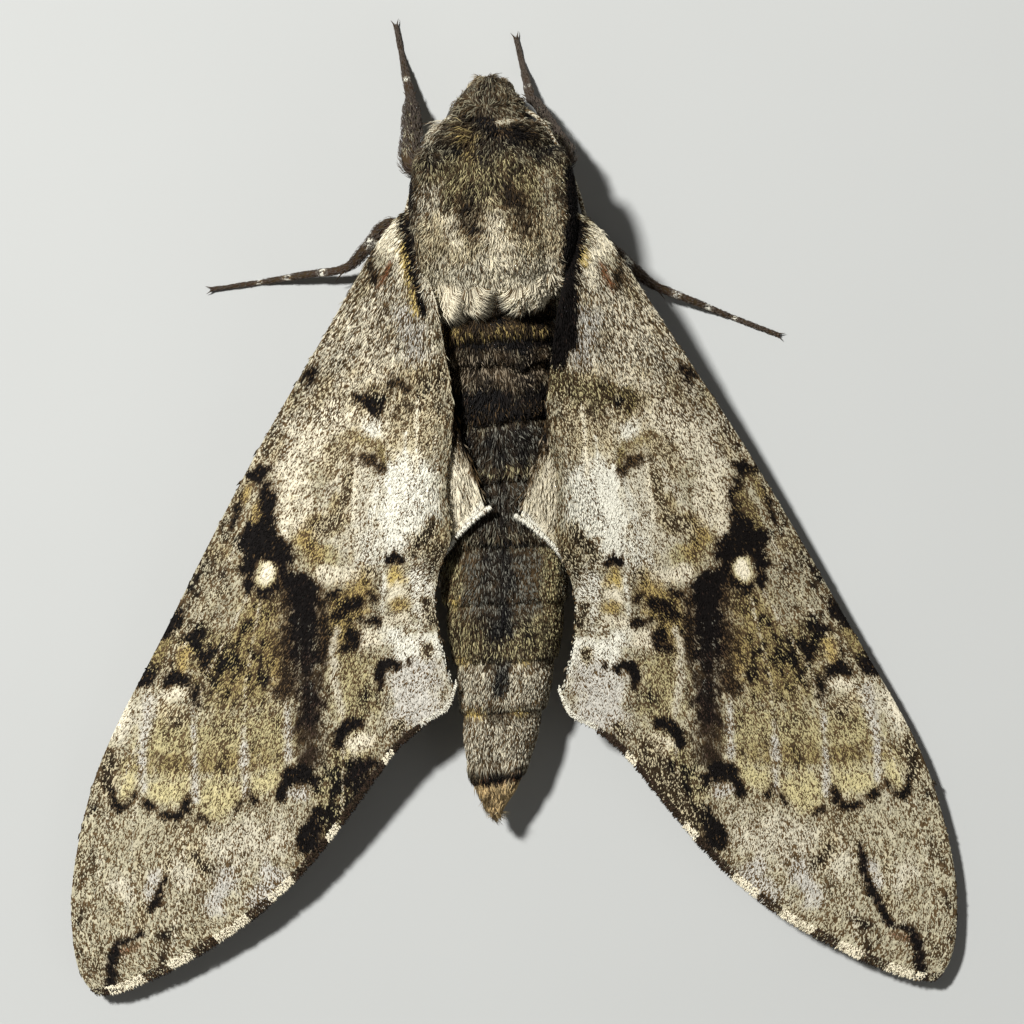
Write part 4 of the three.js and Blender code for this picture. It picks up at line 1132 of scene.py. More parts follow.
def wing_sheet(wing, side, name):
    """A wing's membrane: a grid laid on its upper face, a copy under it, and a rim between the two."""
    thickness = settings("coat").sheet_thickness
    shape = bmesh.new()
    bmesh.ops.create_grid(shape, x_segments=wing.segments[0], y_segments=wing.segments[1], size=1)
    upper = list(shape.verts)
    flat = np.array([vert.co[:] for vert in upper])
    s, t = (flat[:, 0] + 1) / 2, (flat[:, 1] + 1) / 2 * (1 - EDGE_ROOM)
    s *= margin_share(t)
    places = on_side(wing.top(s, t), side)
    for vert, place in zip(upper, places):
        vert.co = place
    twin = bmesh.ops.duplicate(shape, geom=shape.verts[:] + shape.edges[:] + shape.faces[:])
    lower = [item for item in twin["geom"] if isinstance(item, bmesh.types.BMVert)]
    bmesh.ops.translate(shape, vec=(0, 0, -thickness), verts=lower)
    rims = [edge for edge in shape.edges if edge.is_boundary]
    bmesh.ops.bridge_loops(shape, edges=rims)
    mesh = mesh_of(shape, name)
    x, y = wing.plan(s, t).T
    painting = wing.paint(x, y, side)
    both = Painting(np.tile(x, 2), np.tile(y, 2), ("underside", 0.45), SEED)
    both.tint[:len(upper)] = painting.tint
    both.share[:len(upper)] = painting.share
    keep_painting(mesh, both)
    set_attribute(mesh, "Lie", np.tile(wing_lie(wing, s, t), (2, 1)))
    return mesh


def wing_tufts(wing, side, s, t, seed, below=False):
    """Roots for scale tufts on a wing's upper or lower face."""
    along, across = wing.slopes(s, t)
    roots = wing.top(s, t)
    normals = unit(np.cross(across, along))
    normals *= np.sign(normals[:, 2])[:, None]
    if below:
        roots[:, 2] -= settings("coat").sheet_thickness
        normals = -normals
    patches = columns(s, t) * (1 - PATCH)
    return Tufts(on_side(roots, side), turned(normals, side), turned(unit(along), side), patches, seed)


def add_scales(wing, side, name, s, t, seed):
    """Scale tufts on a wing's upper face, some of them drawn out into hair."""
    coat = settings("coat")
    tufts = wing_tufts(wing, side, s, t, seed)
    hairy = wing.hairy(s, t)
    length = coat.scale_length * (1 + 1.7 * hairy) * tufts.spread(0.75, 1.3)
    width = coat.scale_width * (1 - 0.3 * np.minimum(hairy, 1)) * tufts.spread(0.75, 1.25)
    lift = 0.06 + 0.06 * hairy + tufts.spread(0, 0.06)
    places = tufts.shape(SCALE, length, width, 0.14, lift, 0.5 * lift, 0.18)
    x, y = wing.plan(s, t).T
    colours = tufts.colours(wing.paint(x, y, side), 0.12)
    add_tufts(name, wing.slot, SCALE, tufts, places, colours, wing_scale_material())


def add_under_scales(wing, side, name, seed):
    """Broad scale tufts on a wing's lower face."""
    coat = settings("coat")
    s, t = wing.scatter(UNDER_SCALES[wing.kind], np.random.default_rng(seed))
    length = 3 * coat.scale_length
    s *= 1 - length / wing.edges["costa"].length
    tufts = wing_tufts(wing, side, s, t, seed, below=True)
    places = tufts.shape(
        SCALE, length * tufts.spread(0.8, 1.2), 2.4 * coat.scale_width * tufts.spread(0.8, 1.2),
        0.1, tufts.spread(0.03, 0.08), tufts.spread(0.01, 0.03), 0.2)
    x, y = wing.plan(s, t).T
    colours = tufts.colours(Painting(x, y, ("underside", 0.42), seed))
    add_tufts(name, wing.slot, SCALE, tufts, places, colours, wing_scale_material())


def add_fringe(wing, side, name, seed):
    """Long scales along the outer margin, in dark and pale stretches."""
    stretches, count = FRINGES[wing.kind]
    rng = np.random.default_rng(seed)
    t = np.sort(rng.uniform(0, 1, count))
    s = margin_share(t) - rng.uniform(0, 0.012, count)
    tufts = wing_tufts(wing, side, s, t, seed)
    rim = wing.edges["margin"]
    tangent = unit(rim.at(np.minimum(t + 0.01, 1)) - rim.at(np.maximum(t - 0.01, 0)))
    outward = columns(-tangent[:, 1], tangent[:, 0], 0)
    away = np.sign((outward * turned(tufts.lies, side)).sum(axis=1))[:, None]
    tufts.lies = unit(0.75 * turned(outward * away, side) + 0.25 * tufts.lies)
    x, y = wing.plan(s, t).T
    painting = Painting(x, y, ("stone", 0.4), seed)
    ends = np.array([end for end, *_ in stretches])
    stretch = np.searchsorted(ends, t)
    for index, (_, tint, _) in enumerate(stretches):
        painting.lay((stretch == index).astype(float), tint, FRINGE_DARK_SHARES[tint])
    shares = np.array([share for *_, share in stretches])[stretch]
    length = settings("coat").fringe_length * shares * tufts.spread(0.7, 1.0)
    width = FRINGE_SCALE_WIDTH * tufts.spread(0.8, 1.2)
    lift = tufts.spread(0, 0.05) + 0.3 * (wing.drop > 0)
    places = tufts.shape(SCALE, length, width, 0.2, lift, tufts.spread(0, 0.1), 0.12)
    colours = tufts.colours(painting, 0.08)
    add_tufts(name, wing.slot, SCALE, tufts, places, colours, wing_scale_material())


def wings():
    """The two left wings."""
    return (
        Wing("forewing", FOREWING, 0, FOREWING_VEINS, paint_forewing, FOREWING_SEGMENTS),
        Wing("hindwing", HINDWING, HINDWING_DROP, (), paint_hindwing, HINDWING_SEGMENTS),
    )


# ---- Body ----

MEETING_GROWTH = 0.2  # each solid grows by this much, so that neighbours meet
VOXEL = 0.24
SKIN_SMOOTHINGS = 5
SEGMENT_STEPS = (0.80, 0.75, 0.60, 0.34, 0.16, 0.14, 0.14, 0.12)  # each ring's rear rim over the next
COAT_DEPTHS = (  # y, and how many times the coat's depth the skin lies inside the solids there
    (-34, 0.2), (-31, 0.3), (-27, 0.9), (-20, 1.3), (-14, 1.0), (-5, 0.8), (2, 0.5), (16, 0.5), (24, 0.45),
)
GIRTH_RADIUS = 5.0  # turns an angle round the body into millimetres

# name, slot, y from, y to, tufts, length, lift, curl, fan
COAT_ZONES = (
    ("head_hair", "body_fur", -36, -30.0, 9500, 0.75, 0.40, 0.26, 0.30),
    ("collar_hair", "body_fur", -30.8, -27.0, 7000, 1.00, 0.34, 0.22, 0.32),
    ("thorax_hair_front", "body_fur", -27.4, -21.2, 13000, 1.05, 0.28, 0.20, 0.30),
    ("thorax_hair_rear", "body_fur", -21.4, -14.0, 13000, 1.25, 0.26, 0.20, 0.28),
    ("abdomen_hair_front", "abdomen_fur", -15.0, 2.5, 11000, 0.95, 0.26, 0.16, 0.32),
    ("abdomen_hair_rear", "abdomen_fur", 2.3, 20.6, 12000, 0.70, 0.20, 0.12, 0.26),
    ("tail_hair", "tail_hair", 19.6, 25.0, 2600, 1.45, 0.14, 0.06, 0.12),
)
# pale locks that curl over the thorax's rear edge: x and y of the middle, then the way it points in x and y
REAR_LOCKS = (
    ((4.7, -17.8), (0.0, 1.0)), ((3.7, -17.4), (-0.3, 1.0)), ((1.9, -17.1), (-0.5, 1.0)),
    ((-1.8, -17.0), (0.1, 1.0)), ((-3.0, -17.3), (-0.1, 1.0)), ((-4.0, -18.0), (0.1, 1.0)),
)
LOCK_REACH = 0.6
LOCK_HAIRS = 3400
FACE_HAIRS = 1800
BROW_HAIRS = 3200


def flesh_shape():
    """Copies of the flesh solids, each merged and grown until neighbours meet."""
    shape = bmesh.new()
    for node in FLESH_NODES:
        part = bmesh.new()
        part.from_mesh(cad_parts[node].data)
        bmesh.ops.scale(part, vec=(1 / MM, 1 / MM, 1 / MM), verts=part.verts)
        bmesh.ops.remove_doubles(part, verts=part.verts, dist=0.002)
        part.normal_update()
        for vert in part.verts:
            vert.co += vert.normal * MEETING_GROWTH
        holder = bpy.data.meshes.new(node)
        part.to_mesh(holder)
        part.free()
        shape.from_mesh(holder)
        bpy.data.meshes.remove(holder)
    return shape


def remeshed(mesh):
    """One closed skin round everything in a mesh."""
    holder = bpy.data.objects.new("remesh", mesh)
    bpy.context.collection.objects.link(holder)
    modifier = holder.modifiers.new("Remesh", "REMESH")
    modifier.mode = "VOXEL"
    modifier.voxel_size = VOXEL * MM
    depsgraph = bpy.context.evaluated_depsgraph_get()
    skin = bpy.data.meshes.new_from_object(holder.evaluated_get(depsgraph))
    bpy.data.objects.remove(holder)
    return skin


def bearing_round(places):
    """Angle round the body's middle line, 0 above it."""
    middle_x, middle_z = body_middle(places[:, 1])
    return np.arctan2(places[:, 0] - middle_x, places[:, 2] - middle_z)


def ring_relief(y):
    """How far the abdomen's skin stands in or out: each ring rises to its rear rim and then drops."""
    rise = np.zeros_like(y)
    for front, rear, step in zip(ABDOMEN_JOINTS_Y, ABDOMEN_JOINTS_Y[1:], SEGMENT_STEPS):
        inside = (y >= front) & (y < rear)
        share = (y - front) / (rear - front)
        rise += inside * step * (smooth_step(0, 0.4, share) * (0.6 + 0.4 * share) - 0.8)
    return rise


def body_skin_mesh():
    """The one skin over head, thorax, abdomen and palps, inside the solids by the coat's depth."""
    mesh = remeshed(mesh_of(flesh_shape(), "flesh"))
    shape = bmesh.new()
    shape.from_mesh(mesh)
    for _ in range(SKIN_SMOOTHINGS):
        bmesh.ops.smooth_vert(
            shape, verts=shape.verts, factor=0.5, use_axis_x=True, use_axis_y=True, use_axis_z=True)
    shape.to_mesh(mesh)
    shape.free()
    places, normals = vertex_places(mesh), vertex_normals(mesh)
    depth = MEETING_GROWTH + settings("coat").body_depth * value_at(COAT_DEPTHS, places[:, 1])
    rings = ring_relief(places[:, 1] + ring_sway(places[:, 0], places[:, 1]))
    places += normals * (rings - depth)[:, None]
    mesh.vertices.foreach_set("co", (places * MM).astype(np.float32).ravel())
    mesh.update()
    keep_painting(mesh, paint_body(places))
    set_attribute(mesh, "Lie", columns(places[:, 1], bearing_round(places) * GIRTH_RADIUS, 0))
    return mesh


def skin_scatter(mesh, count, seed, wanted):
    """Random places and normals on a mesh, spread by area times the wanted density at each place."""
    rng = np.random.default_rng(seed)
    places, normals = vertex_places(mesh), vertex_normals(mesh)
    mesh.calc_loop_triangles()
    corners = np.empty(len(mesh.loop_triangles) * 3, np.int32)
    mesh.loop_triangles.foreach_get("vertices", corners)
    corners = corners.reshape(-1, 3)
    a, b, c = (places[corners[:, index]] for index in range(3))
    area = np.linalg.norm(np.cross(b - a, c - a), axis=1)
    weight = area * wanted((a + b + c) / 3, normals[corners[:, 0]])
    chosen = np.searchsorted(np.cumsum(weight), rng.uniform(0, weight.sum(), count))
    chosen = np.minimum(chosen, len(corners) - 1)
    first, second = rng.uniform(0, 1, (2, count, 1))
    root = np.sqrt(first)
    shares = (1 - root, root * (1 - second), root * second)
    roots = sum(share * places[corners[chosen, index]] for index, share in enumerate(shares))
    facing = sum(share * normals[corners[chosen, index]] for index, share in enumerate(shares))
    return roots, facing


def coat_lie(places):
    """Which way the hair lies: forward on the face, back everywhere else, and never quite straight."""
    x, y = places[:, 0], places[:, 1]
    forward = 1 - smooth_step(-32.2, -31.0, y)
    sway = 0.35 * ripple(x, y, 1.5, SEED + 41) + 0.25 * ripple(x, y, 0.6, SEED + 42)
    back = columns(0.05 * x + sway, 1, -0.05)
    ahead = columns(0.12 * x + 0.5 * sway, -1, -0.2)
    return back + forward[:, None] * (ahead - back)


def hair_length(places):
    """Shares of the coat's length: drawn out to a point between the palps, short at the face's sides."""
    x, y, z = places.T
    front = 1 - smooth_step(-32.8, -31.6, y)
    upper = smooth_step(6.5, 8.0, z)
    middle = 1 - smooth_step(0.2, 1.5, np.abs(x))
    return 1 + front * (0.5 * middle * upper - 0.15 * (1 - middle))


def body_patches(places):
    """A tuft's place on an unwrap of the body: round it and along it."""
    round_share = bearing_round(places) / (2 * math.pi) + 0.5
    along_share = (places[:, 1] - HEAD_TIP_Y + 1) / (TAIL_TIP_Y - HEAD_TIP_Y + 2)
    return np.clip(columns(round_share, along_share), 0, 1) * (1 - PATCH)


def add_coat(name, slot, roots, normals, lies, measures, seed):
    """Hair tufts at the roots given. The measures are length, width, lift, curl and fan."""
    length, width, lift, curl, fan = measures
    tufts = Tufts(roots, normals, lies, body_patches(roots), seed)
    low = 1 - smooth_step(-1.2, -0.4, tufts.normals[:, 2])
    length = length * hair_length(roots) * tufts.spread(0.6, 1.25) * (1 - 0.4 * low)
    width = width * tufts.spread(0.7, 1.3)
    places = tufts.shape(
        BLADE, length, width, 0.5, lift * tufts.spread(0.4, 1.5), curl * tufts.spread(0.5, 1.5), fan)
    clumps = 1 + 0.16 * ripple(roots[:, 0] * 2.2, roots[:, 1] + roots[:, 2], 0.8, SEED + 40)
    colours = tufts.colours(paint_body(roots), 0.2, 0.16) * clumps[:, None]
    add_tufts(name, slot, BLADE, tufts, places, colours, tuft_material("hair", 0.70, 0.04))


# ---- Limbs ----

LEG_STATIONS = 110
LEG_SIDES = 14
LEG_COAT = 0.06
FOOT_FROM = 0.82  # share of a leg's length beyond which it lies on the ground
TOE_JOINTS = 5
# a leg's radii at its hip, knee and ankle and half-way between them, and at its toes' joints, as shares
KNOT_SIZES = ((0, 1), (0, 0.92), (1, 1), (1, 0.86), (2, 1), (2, 0.85), (3, 1), (3, 0.9), (3, 0.8))
SPUR_LENGTHS = {"foreleg": 1.1, "midleg": 1.7, "hindleg": 1.7}
LEG_SCALES = {"foreleg": 2600, "midleg": 1500, "hindleg": 1500}
SHAGGINESS = {"foreleg": 0.9, "midleg": 0.35, "hindleg": 0.35}
LEG_SCALE_STATIONS = 400
ANTENNA_RINGS = 64
ANTENNA_STATIONS = 3 * ANTENNA_RINGS
ANTENNA_SCALES = 900
ANTENNA_OVERLAP = 0.2  # its scales reach this angle below its sides
LIMB_SIDES = 12  # of an antenna and of the tongue
THORN_SIDES = 6
TONGUE_STATIONS = 130


def limb_frames(places):
    """Unit directions ahead, to the side and up at each place of a route, turning as little as they can."""
    ahead = unit(np.gradient(places, axis=0))
    up = np.array((0, 0, 1.0)) if abs(ahead[0][2]) < 0.9 else np.array((1.0, 0, 0))
    sides, ups = [], []
    for direction in ahead:
        side = unit(np.cross(up, direction))
        up = np.cross(direction, side)
        sides.append(side)
        ups.append(up)
    return ahead, np.array(sides), np.array(ups)


class Leg:
    """A leg's route with its radius at every place."""

    def __init__(self, hip, knee, ankle, tip, radii):
        hip, knee, ankle, tip = (np.array(place, float) for place in (hip, knee, ankle, tip))

        def bow(start, end):
            return (start + end) / 2 + (0, 0, 0.02 * np.linalg.norm(end - start))

        def along(share, height):
            return np.array((*(ankle[:2] + share * (tip[:2] - ankle[:2])), height))

        toes = [along(0.3, ankle[2] * 0.55), *(along(share, TARSUS_AXIS_Z) for share in (0.6, 0.8, 1))]
        knots = [hip, bow(hip, knee), knee, bow(knee, ankle), ankle, *toes]
        self.route = Route(knots)
        knot_places = np.linspace(0, ROUTE_PLACES - 1, len(knots)).round().astype(int)
        reached = self.route.lengths[knot_places] / self.route.length
        self.knee, self.ankle = reached[2], reached[4]
        sizes = [radii[joint] * share for joint, share in KNOT_SIZES]
        self.radius_rows = tuple(zip(reached, sizes))

    def radius(self, share):
        """The skin's radius, swollen at the joints, and at the toes' joints."""
        radius = value_at(self.radius_rows, share) - LEG_COAT
        toe = np.clip((share - self.ankle) / (1 - self.ankle), 0, 1) * TOE_JOINTS
        radius *= 1 + 0.16 * (toe > 0) * ((toe % 1) - 0.5)
        for joint in (self.knee, self.ankle):
            radius *= 1 + 0.10 * np.exp(-(((share - joint) / 0.012) ** 2))
        return np.minimum(radius, np.where(share > FOOT_FROM, TARSUS_AXIS_Z - 0.02, radius))


def paint_leg(kind, leg, share, seed):
    """Purplish brown scales with pale rings, paler on the tibia of a foreleg."""
    painting = Painting(share * 30, np.zeros_like(share), ("umber", 0.70), seed)
    if kind == "foreleg":
        tibia = smooth_step(leg.knee, leg.knee + 0.06, share)
        tibia *= 1 - smooth_step(leg.ankle - 0.05, leg.ankle, share)
        painting.lay(0.9 * tibia, "stone", 0.62)
    for middle, half in LEG_BANDS[kind]:
        band = np.exp(-(((share - middle) / half) ** 4))
        painting.lay(0.95 * band, "white", 0.04)
    return painting


def add_leg(name, number):
    """One leg: a swept skin that goes into the body, its scales, spurs and claws."""
    kind = name.split("_")[0]
    leg = Leg(*LEGS[name])
    shares = np.linspace(0, 1, LEG_STATIONS)
    stations = leg.route.at(shares)
    shape = bmesh.new()
    sweep(shape, stations, leg.radius(shares), LEG_SIDES)
    for start, end, radius in spurs(kind, leg):
        sweep(shape, *thorn(start, end, radius), THORN_SIDES)
    for vert in shape.verts:
        vert.co.z = max(vert.co.z, 0)
    mesh = mesh_of(shape, name)
    places = vertex_places(mesh)
    nearest = np.argmin(((places[:, None] - stations[None]) ** 2).sum(axis=2), axis=1)
    keep_painting(mesh, paint_leg(kind, leg, shares[nearest], SEED + number))
    around = np.arctan2(places[:, 2] - stations[nearest, 2], places[:, 0] - stations[nearest, 0])
    set_attribute(mesh, "Lie", columns(shares[nearest] * leg.route.length, around * 0.5, 0))
    nodes = [f"{name}_{part}" for part in ("femur", "tibia", "tarsus")]
    add_piece(name, mesh, skin_material("leg_skin", (6.0, 16.0)), "leg_scales", *nodes)
    add_leg_scales(name, kind, leg, number)


def thorn(start, end, radius):
    """Places and radii for a sharp spur or claw with a slight hook."""
    start, end = np.array(start, float), np.array(end, float)
    shares = np.linspace(0, 1, 7)[:, None]
    hook = np.array((0, 0, 0.18)) * np.linalg.norm(end - start) * np.sin(math.pi * shares)
    return start + shares * (end - start) + hook, radius * (1 - 0.9 * shares[:, 0])


def spurs(kind, leg):
    """Spurs at the end of the tibia and two claws at the tip, as starts, ends and radii."""
    def frame_at(share):
        near = leg.route.at(np.array((share - 0.01, share, share + 0.01)))
        ahead, side, _ = limb_frames(near)
        return near[1], ahead[1], side[1]

    place, ahead, side = frame_at(leg.ankle - 0.01)
    made = [(place, place + ahead * SPUR_LENGTHS[kind] + side * turn * 0.55, 0.13) for turn in (-1, 1)]
    if kind == "hindleg":
        place, ahead, side = frame_at(leg.ankle - 0.10)
        made += [(place, place + ahead * 1.3 + side * turn * 0.6, 0.12) for turn in (-1, 1)]
    place, ahead, side = frame_at(0.985)
    level = np.array((1, 1, 0)) * ahead
    made += [(place, place + level * 0.75 + side * turn * 0.32, 0.10) for turn in (-1, 1)]
    return made


def standing_out(stations, share, angle):
    """Unit directions along a limb and straight out of it, at shares of its length and angles round it."""
    rows = (share * (len(stations) - 1)).astype(int)
    ahead, side, up = (axis[rows] for axis in limb_frames(stations))
    return ahead, side * np.cos(angle)[:, None] + up * np.sin(angle)[:, None]


def add_leg_scales(name, kind, leg, number):
    """Scales lying along a leg, long and shaggy on the femur and on the foreleg's tibia."""
    count = LEG_SCALES[kind]
    rng = np.random.default_rng(SEED + 60 + number)
    share = np.sort(rng.uniform(0.12, 0.99, count) ** 0.9)
    angle = rng.uniform(0, 2 * math.pi, count)
    ahead, normals = standing_out(leg.route.at(np.linspace(0, 1, LEG_SCALE_STATIONS)), share, angle)
    roots = leg.route.at(share) + normals * leg.radius(share)[:, None]
    patches = columns(share, angle / (2 * math.pi)) * (1 - PATCH)
    tufts = Tufts(roots, normals, ahead, patches, SEED + 60 + number)
    shaggy = (1 - smooth_step(leg.ankle - 0.08, leg.ankle, share)) * SHAGGINESS[kind]
    shaggy *= (roots[:, 2] > 1.2)
    length = (0.34 + 0.55 * shaggy) * tufts.spread(0.7, 1.2)
    lift = 0.10 + 0.32 * shaggy
    places = tufts.shape(SCALE, length, 0.085 * tufts.spread(0.8, 1.2), 0.3, lift, 0.6 * lift, 0.2)
    places[:, :, 2] = np.maximum(places[:, :, 2], 0.01)
    colours = tufts.colours(paint_leg(kind, leg, share, SEED + number), 0.2)
    material = tuft_material("leg_scales", 0.55)
    add_tufts(f"{name}_scales", "leg_scales", SCALE, tufts, places, colours, material)


def antenna_radius(share):
    """Its radius, stepped by its rings and drawn out to a point."""
    ring = (share * ANTENNA_RINGS) % 1
    return (0.18 - 0.03 * share ** 2) * (0.90 + 0.10 * ring) * (1 - 0.75 * smooth_step(0.965, 1, share))


def add_antenna(side_name, side, number):
    """A ringed antenna laid back beside the thorax, cream above and brown below."""
    route = Route([(x * side, y, z) for x, y, z in ANTENNA_ROUTE])
    shares = np.linspace(0, 1, ANTENNA_STATIONS)
    stations = route.at(shares)
    shape = bmesh.new()
    sweep(shape, stations, antenna_radius(shares), LIMB_SIDES)
    name = f"antenna_{side_name}"
    mesh = mesh_of(shape, name)
    places, normals = vertex_places(mesh), vertex_normals(mesh)
    painting = Painting(places[:, 0], places[:, 1], ("umber", 0.3), SEED + 80)
    painting.lay(smooth_step(-0.1, 0.4, normals[:, 2]), "pearl", 0.42)
    keep_painting(mesh, painting)
    set_attribute(mesh, "Lie", places[:, (1, 2, 0)])
    add_piece(name, mesh, skin_material("antenna_skin", (9.0, 16.0)), "antenna_scales", name)
    rng = np.random.default_rng(SEED + 82 + number)
    share = np.sort(rng.uniform(0.01, 0.97, ANTENNA_SCALES))
    angle = rng.uniform(-ANTENNA_OVERLAP, math.pi + ANTENNA_OVERLAP, ANTENNA_SCALES)
    ahead, outward = standing_out(stations, share, angle)
    roots = route.at(share) + outward * antenna_radius(share)[:, None] * 0.97
    round_share = (angle + ANTENNA_OVERLAP) / (math.pi + 2 * ANTENNA_OVERLAP)
    patches = columns(share, round_share) * (1 - PATCH)
    tufts = Tufts(roots, outward, ahead, patches, SEED + 84 + number)
    lift = tufts.spread(0.02, 0.06)
    length, width = 0.26 * tufts.spread(0.8, 1.2), 0.08 * tufts.spread(0.8, 1.2)
    places = tufts.shape(SCALE, length, width, 0.2, lift, lift * 0.6, 0.15)
    painting = Painting(roots[:, 0], roots[:, 1], ("pearl", 0.42), SEED + 86)
    painting.lay(1 - smooth_step(0.08, 0.14, share), "moss", 0.5)
    colours = tufts.colours(painting, 0.1)
    add_tufts(f"{name}_scales", "antenna_scales", SCALE, tufts, places, colours, wing_scale_material())


def eye_material():
    """A dark compound eye: fine facets under a clear gloss, browner where the light goes in."""
    material, tree, shader = new_material("eye_lens", 0.16)
    shader["Specular IOR Level"].default_value = 0.6
    shader["Coat Weight"].default_value = 0.5
    facets = add_node(tree, "TexVoronoi", {"Scale": 14000, "Vector": object_places(tree)})
    tint = mixed(tree, facets["Distance"], (0.030, 0.016, 0.009, 1), (0.006, 0.004, 0.003, 1))
    link(tree, tint, shader["Base Color"])
    add_bump(tree, shader, facets["Distance"], 0.5, -0.00001)
    return material


def add_eye(side_name, side):
    x, y, z = EYE_CENTRE
    shape = bmesh.new()
    bmesh.ops.create_icosphere(
        shape, subdivisions=4, radius=EYE_RADIUS, matrix=Matrix.Translation((x * side, y, z)))
    name = f"eye_{side_name}"
    material = bpy.data.materials.get("eye_lens") or eye_material()
    add_piece(name, mesh_of(shape, name), material, "eye_lens", name)


def tongue_material():
    """Horny brown, ringed across its length by its attribute Lie."""
    material, tree, shader = new_material("tongue", 0.42)
    rings = add_node(
        tree, "TexWave", {"Scale": 2.2, "Distortion": 0.6, "Vector": attribute(tree, "Lie", "Vector")})
    tint = mixed(tree, rings["Fac"], (0.055, 0.020, 0.008, 1), (0.115, 0.050, 0.020, 1))
    link(tree, tint, shader["Base Color"])
    add_bump(tree, shader, rings["Fac"], 0.4, 0.00002)
    return material


def add_tongue():
    """The tongue coiled like a watch spring under the head."""
    shares = np.linspace(0, 1, TONGUE_STATIONS)
    radius = COIL_OUTER_RADIUS + shares * (COIL_INNER_RADIUS - COIL_OUTER_RADIUS)
    angle = shares * COIL_TURNS * 2 * math.pi
    x, y, z = COIL_CENTRE
    stations = columns(x, y + radius * np.sin(angle), z + radius * np.cos(angle))
    shape = bmesh.new()
    sweep(shape, stations, 0.26 - 0.12 * shares, LIMB_SIDES)
    mesh = mesh_of(shape, "proboscis")
    places = vertex_places(mesh)
    turned_by = np.arctan2(places[:, 1] - y, places[:, 2] - z) * 2.5
    set_attribute(mesh, "Lie", columns(turned_by, places[:, 0], 0))
    add_piece("proboscis", mesh, tongue_material(), "tongue", "proboscis")


# ---- Operators ----


class MOTH_OT_stage(bpy.types.Operator):
    """Lay the floor and set the lights and the camera"""

    bl_idname = "moth.stage"
    bl_label = "Stage"

    def execute(self, context):
        stage = settings("stage")
        add_floor(linear(stage.floor))
        add_light("key_light", KEY_LIGHT_PLACE, KEY_LIGHT_SIZE, stage.key_power)
        add_light("side_light", SIDE_LIGHT_PLACE, SIDE_LIGHT_SIZE, stage.key_power * SIDE_LIGHT_SHARE)
        world = bpy.data.worlds.new("studio")
        world.use_nodes = True
        background = world.node_tree.nodes["Background"]
        background.inputs["Color"].default_value = (1.0, 0.99, 0.97, 1)
        background.inputs["Strength"].default_value = stage.fill_strength
        context.scene.world = world
        context.scene.view_settings.view_transform = "Standard"
        add_camera(context.scene)
        return {"FINISHED"}


def add_floor(floor_colour):
    shape = bmesh.new()
    bmesh.ops.create_grid(shape, x_segments=8, y_segments=8, size=FLOOR_HALF_SIZE)
    mesh = bpy.data.meshes.new("floor")
    shape.to_mesh(mesh)
    shape.free()
    material, tree, shader = new_material("floor", 0.85)
    mottle = add_node(tree, "TexNoise", {"Scale": 40, "Vector": object_places(tree)})
    tint = mixed(tree, mottle["Fac"], (*(floor_colour * 0.98), 1), (*(floor_colour * 1.02), 1))
    link(tree, tint, shader["Base Color"])
    mesh.materials.append(material)
    floor = bpy.data.objects.new("floor", mesh)
    bpy.context.collection.objects.link(floor)


def add_light(name, place, size, power):
    light = bpy.data.lights.new(name, "AREA")
    light.shape = "DISK"
    light.size = size
    light.energy = power
    lamp = bpy.data.objects.new(name, light)
    lamp.location = place
    lamp.rotation_euler = (-Vector(place)).to_track_quat("-Z", "Y").to_euler()
    bpy.context.collection.objects.link(lamp)


def add_camera(scene):
    camera = bpy.data.cameras.new("camera")
    camera.sensor_width = SENSOR_WIDTH
    camera.lens = CAMERA_LENS
    camera.clip_start = 0.01
    holder = bpy.data.objects.new("camera", camera)
    holder.location = Vector(CAMERA_PLACE) * MM
    holder.rotation_euler = (0, 0, math.radians(CAMERA_TURN))
    bpy.context.collection.objects.link(holder)
    scene.camera = holder


class MOTH_OT_body_skin(bpy.types.Operator):
    """Grow one skin over the head, thorax and abdomen"""

    bl_idname = "moth.body_skin"
    bl_label = "Body skin"

    def execute(self, context):
        mesh = body_skin_mesh()
        add_piece("body_skin", mesh, skin_material("body_skin", (2.2, 8.0)), "body_fur", *FLESH_NODES)
        return {"FINISHED"}


